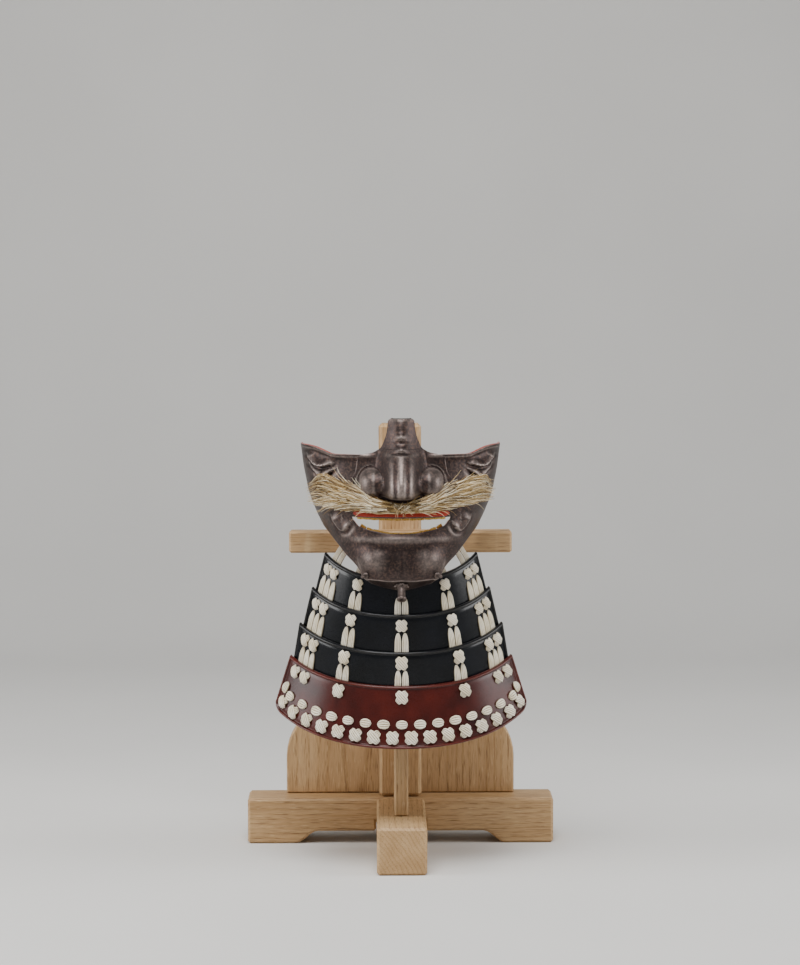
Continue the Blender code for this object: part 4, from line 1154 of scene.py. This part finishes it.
def lacing():
    cross = knot()
    for tier in range(4):
        for word, angles, braids in COLUMNS_OF_LACE:
            if tier == 0 and word == "middle":
                continue
            ends = len(angles) > 1
            parts = []
            size = (0.0091, 0.0096, 0.0100, 0.0104)[tier] * (1 if ends else 1.07)
            places = [on_lame(tier, a, KNOT_DOWN, KNOT_LIFT, size) for a in angles]
            parts.append(set_out(places, cross.copy(), BRAID, 0.95, 1.04, 0.82, 0.06, tier * 7 + 3))
            middle = sum(angles) / len(angles)
            above = max(tier - 1, 0)
            pitch = EDGE_Z[above] - EDGE_Z[tier] if tier else 0.0
            spread = EDGE_HALF[max(tier, 1)] / math.sin(LAME_HALF_ANGLE)
            step = BRAID_WIDE + BRAID_GAP
            count = braids if tier else 2
            for n in range(count):
                aside = (n - (count - 1) / 2) * step

                if tier == 0:
                    def place(u, w, lift, aside=aside):
                        """Behind the rim, and then up and inward to the inner side of the jaw."""
                        point = lame_point(0, middle + (aside + u) / lame_radius(0), w,
                                           lift - LAME_WALL - 2 * GAP - BRAID_THICK * 1.3)
                        inward = Vector((-point.x, 0.045, 0)).normalized()
                        return point + inward * max(-w, 0) * (0.50 if ends else 0.38)

                    rows = [(w, 1.0, 1.2, 0.0)
                            for w in np.linspace(-0.022 if ends else -0.013, KNOT_DOWN, 13)]
                else:
                    def place(u, w, lift, aside=aside):
                        if w <= pitch + 0.0015:
                            return lame_point(above, middle + (aside + u) / spread, w, lift)
                        return lame_point(tier, middle + (aside + u) / spread, w - pitch,
                                          lift - LAME_WALL - 3 * GAP - BRAID_THICK)

                    top = BRAID_TOP - 0.0004
                    rows = []
                    for w in np.linspace(0, 1, 15) ** 1.3 * (pitch + 0.0015 - top) + top:
                        out = min((w - top) / 0.0090, 1)
                        grow = max(1 - (1 - out) ** 2, 0) ** 0.62
                        rows.append((w, 0.20 + 0.84 * grow, 1.7 * (0.35 + 0.65 * grow),
                                     -0.0004 + 0.0007 * grow))
                    rows += [(w, 1.0, 0.85, 0.0003)
                             for w in np.linspace(pitch + 0.0040, pitch + KNOT_DOWN + HOLE_HALF, 5)]
                parts.append(braid(place, rows, BRAID_WIDE * 0.94))
            piece(f"braid_{tier + 1}_{word}", together(parts), (BRAID,), "silk_braid",
                  (f"lace_{tier + 1}_{word}",), 60)


def hem():
    """The two rows of knots along the foot of the lowest lame."""
    length = lame_length(3)

    def place(degrees, up, size, lame=3):
        """Where a knot sits, from its angle and how far it is above the foot of the lame."""
        angle = math.radians(degrees)
        return on_lame(lame, angle, low_edge(lame, angle, length - up), KNOT_LIFT, size)

    low = [place(HEM_PITCH * (n - 7.5), 0.0092, 0.0109) for n in range(16)]
    low[0], low[-1] = place(-HEM_END, 0.0110, 0.0102), place(HEM_END, 0.0110, 0.0102)
    high = [on_lame(3, math.radians(HEM_PITCH * (n - 7)), length - 0.0203, KNOT_LIFT, 0.0103)
            for n in range(15)]
    for angle in (-HEM_HIGH_END, HEM_HIGH_END):
        where, turn, size = on_lame(3, math.radians(angle), length - 0.0245, KNOT_LIFT, 0.0100)
        high.append((where, turn @ Matrix.Rotation(math.pi / 2, 3, "Z"), size))
    dots = set_out(high, oval(), BRAID, 1.0, 1.0, 0.75, 0.06, 23)
    knots = set_out(low, knot(), BRAID, 1.0, 1.04, 0.82, 0.05, 21)
    piece("hem_knots", together([knots, dots]), (BRAID,), "silk_braid", (), 60)


# ---- The stand -------------------------------------------------------------------------------

def stand():
    quarter = math.pi / 2
    looks = {
        "base_beam": oak("oak_beam", (0, quarter, 0), (0.05, 0.075, 0)),
        "base_foot": oak("oak_foot", (quarter, 0, 0), (0.085, -0.035, 0.0)),
        "post": oak("oak_post", (0, 0, 0), (0.20, 0.09, 0)),
        "wide_board": oak("oak_board", (0, 0, 0.1), (0.01, 0.16, 0)),
        "front_rib": oak("oak_rib", (0, 0, 0.4), (0.07, 0.20, 0)),
        "crossbar": oak("oak_bar", (0, quarter, 0), (0.16, 0.03, 0)),
    }
    for name, look in looks.items():
        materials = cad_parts[name].data.materials
        materials.clear()
        materials.append(look)


def studio():
    """A pale floor that sweeps up behind, soft lights and the camera."""
    made, tree, shader = finish_of("studio_paper", Roughness=0.9)
    grain = ramp(tree, noise(tree, place_in(tree), 3.0, 2.0), (0.3, "#d5d3cf"), (0.7, "#dad8d4"))
    tree.links.new(grain, shader.inputs["Base Color"])
    profile = [(-3.2, 0.0)] + [(1.1 + 0.7 * math.sin(a), 0.7 - 0.7 * math.cos(a))
                              for a in np.linspace(0, math.pi / 2, 16)] + [(1.8, 3.4)]
    points, faces = [], []
    for y, z in profile:
        points += [(-3.2, y, z), (3.2, y, z)]
    for n in range(len(profile) - 1):
        faces.append((2 * n, 2 * n + 1, 2 * n + 3, 2 * n + 2))
    mesh = mesh_of(points, faces)
    mesh.materials.append(made)
    mesh.shade_smooth()
    sweep = stood("studio_sweep", mesh)

    target = Vector((0, -0.08, 0.22))
    for name, place, size, power in (("left", (-1.45, -0.35, 0.75), 0.8, 17),
                                     ("right", (1.45, -0.30, 0.75), 0.8, 15),
                                     ("top", (-0.15, -0.85, 1.75), 1.0, 36)):
        lamp = bpy.data.lights.new(name, "AREA")
        lamp.shape, lamp.size, lamp.energy = "SQUARE", size, power
        holder = stood(name, lamp)
        holder.location = place
        holder.rotation_euler = (target - Vector(place)).to_track_quat("-Z", "Y").to_euler()

    world = bpy.data.worlds.new("studio")
    world.use_nodes = True
    ground = world.node_tree.nodes["Background"]
    ground.inputs["Color"].default_value = linear("#dfe2e6")
    ground.inputs["Strength"].default_value = 0.30
    bpy.context.scene.world = world

    # A long lens: its focal length is 2800 pixels of a picture that is 965 high.
    lens = bpy.data.cameras.new("camera")
    lens.sensor_width, lens.lens = 36.0, 2800 * 36.0 / 965
    lens.clip_start = 0.05
    holder = stood("camera", lens)
    turn = (Matrix.Rotation(math.radians(-0.53), 4, "Z")
            @ Matrix.Rotation(math.radians(90 - 4.62), 4, "X")
            @ Matrix.Rotation(math.radians(-0.11), 4, "Z"))
    holder.matrix_world = Matrix.Translation((-0.023, -2.5095, 0.527)) @ turn
    bpy.context.scene.camera = holder


mask()
nose()
mouth()
moustache()
fittings()
throat_lames()
lacing()
hem()
stand()
studio()
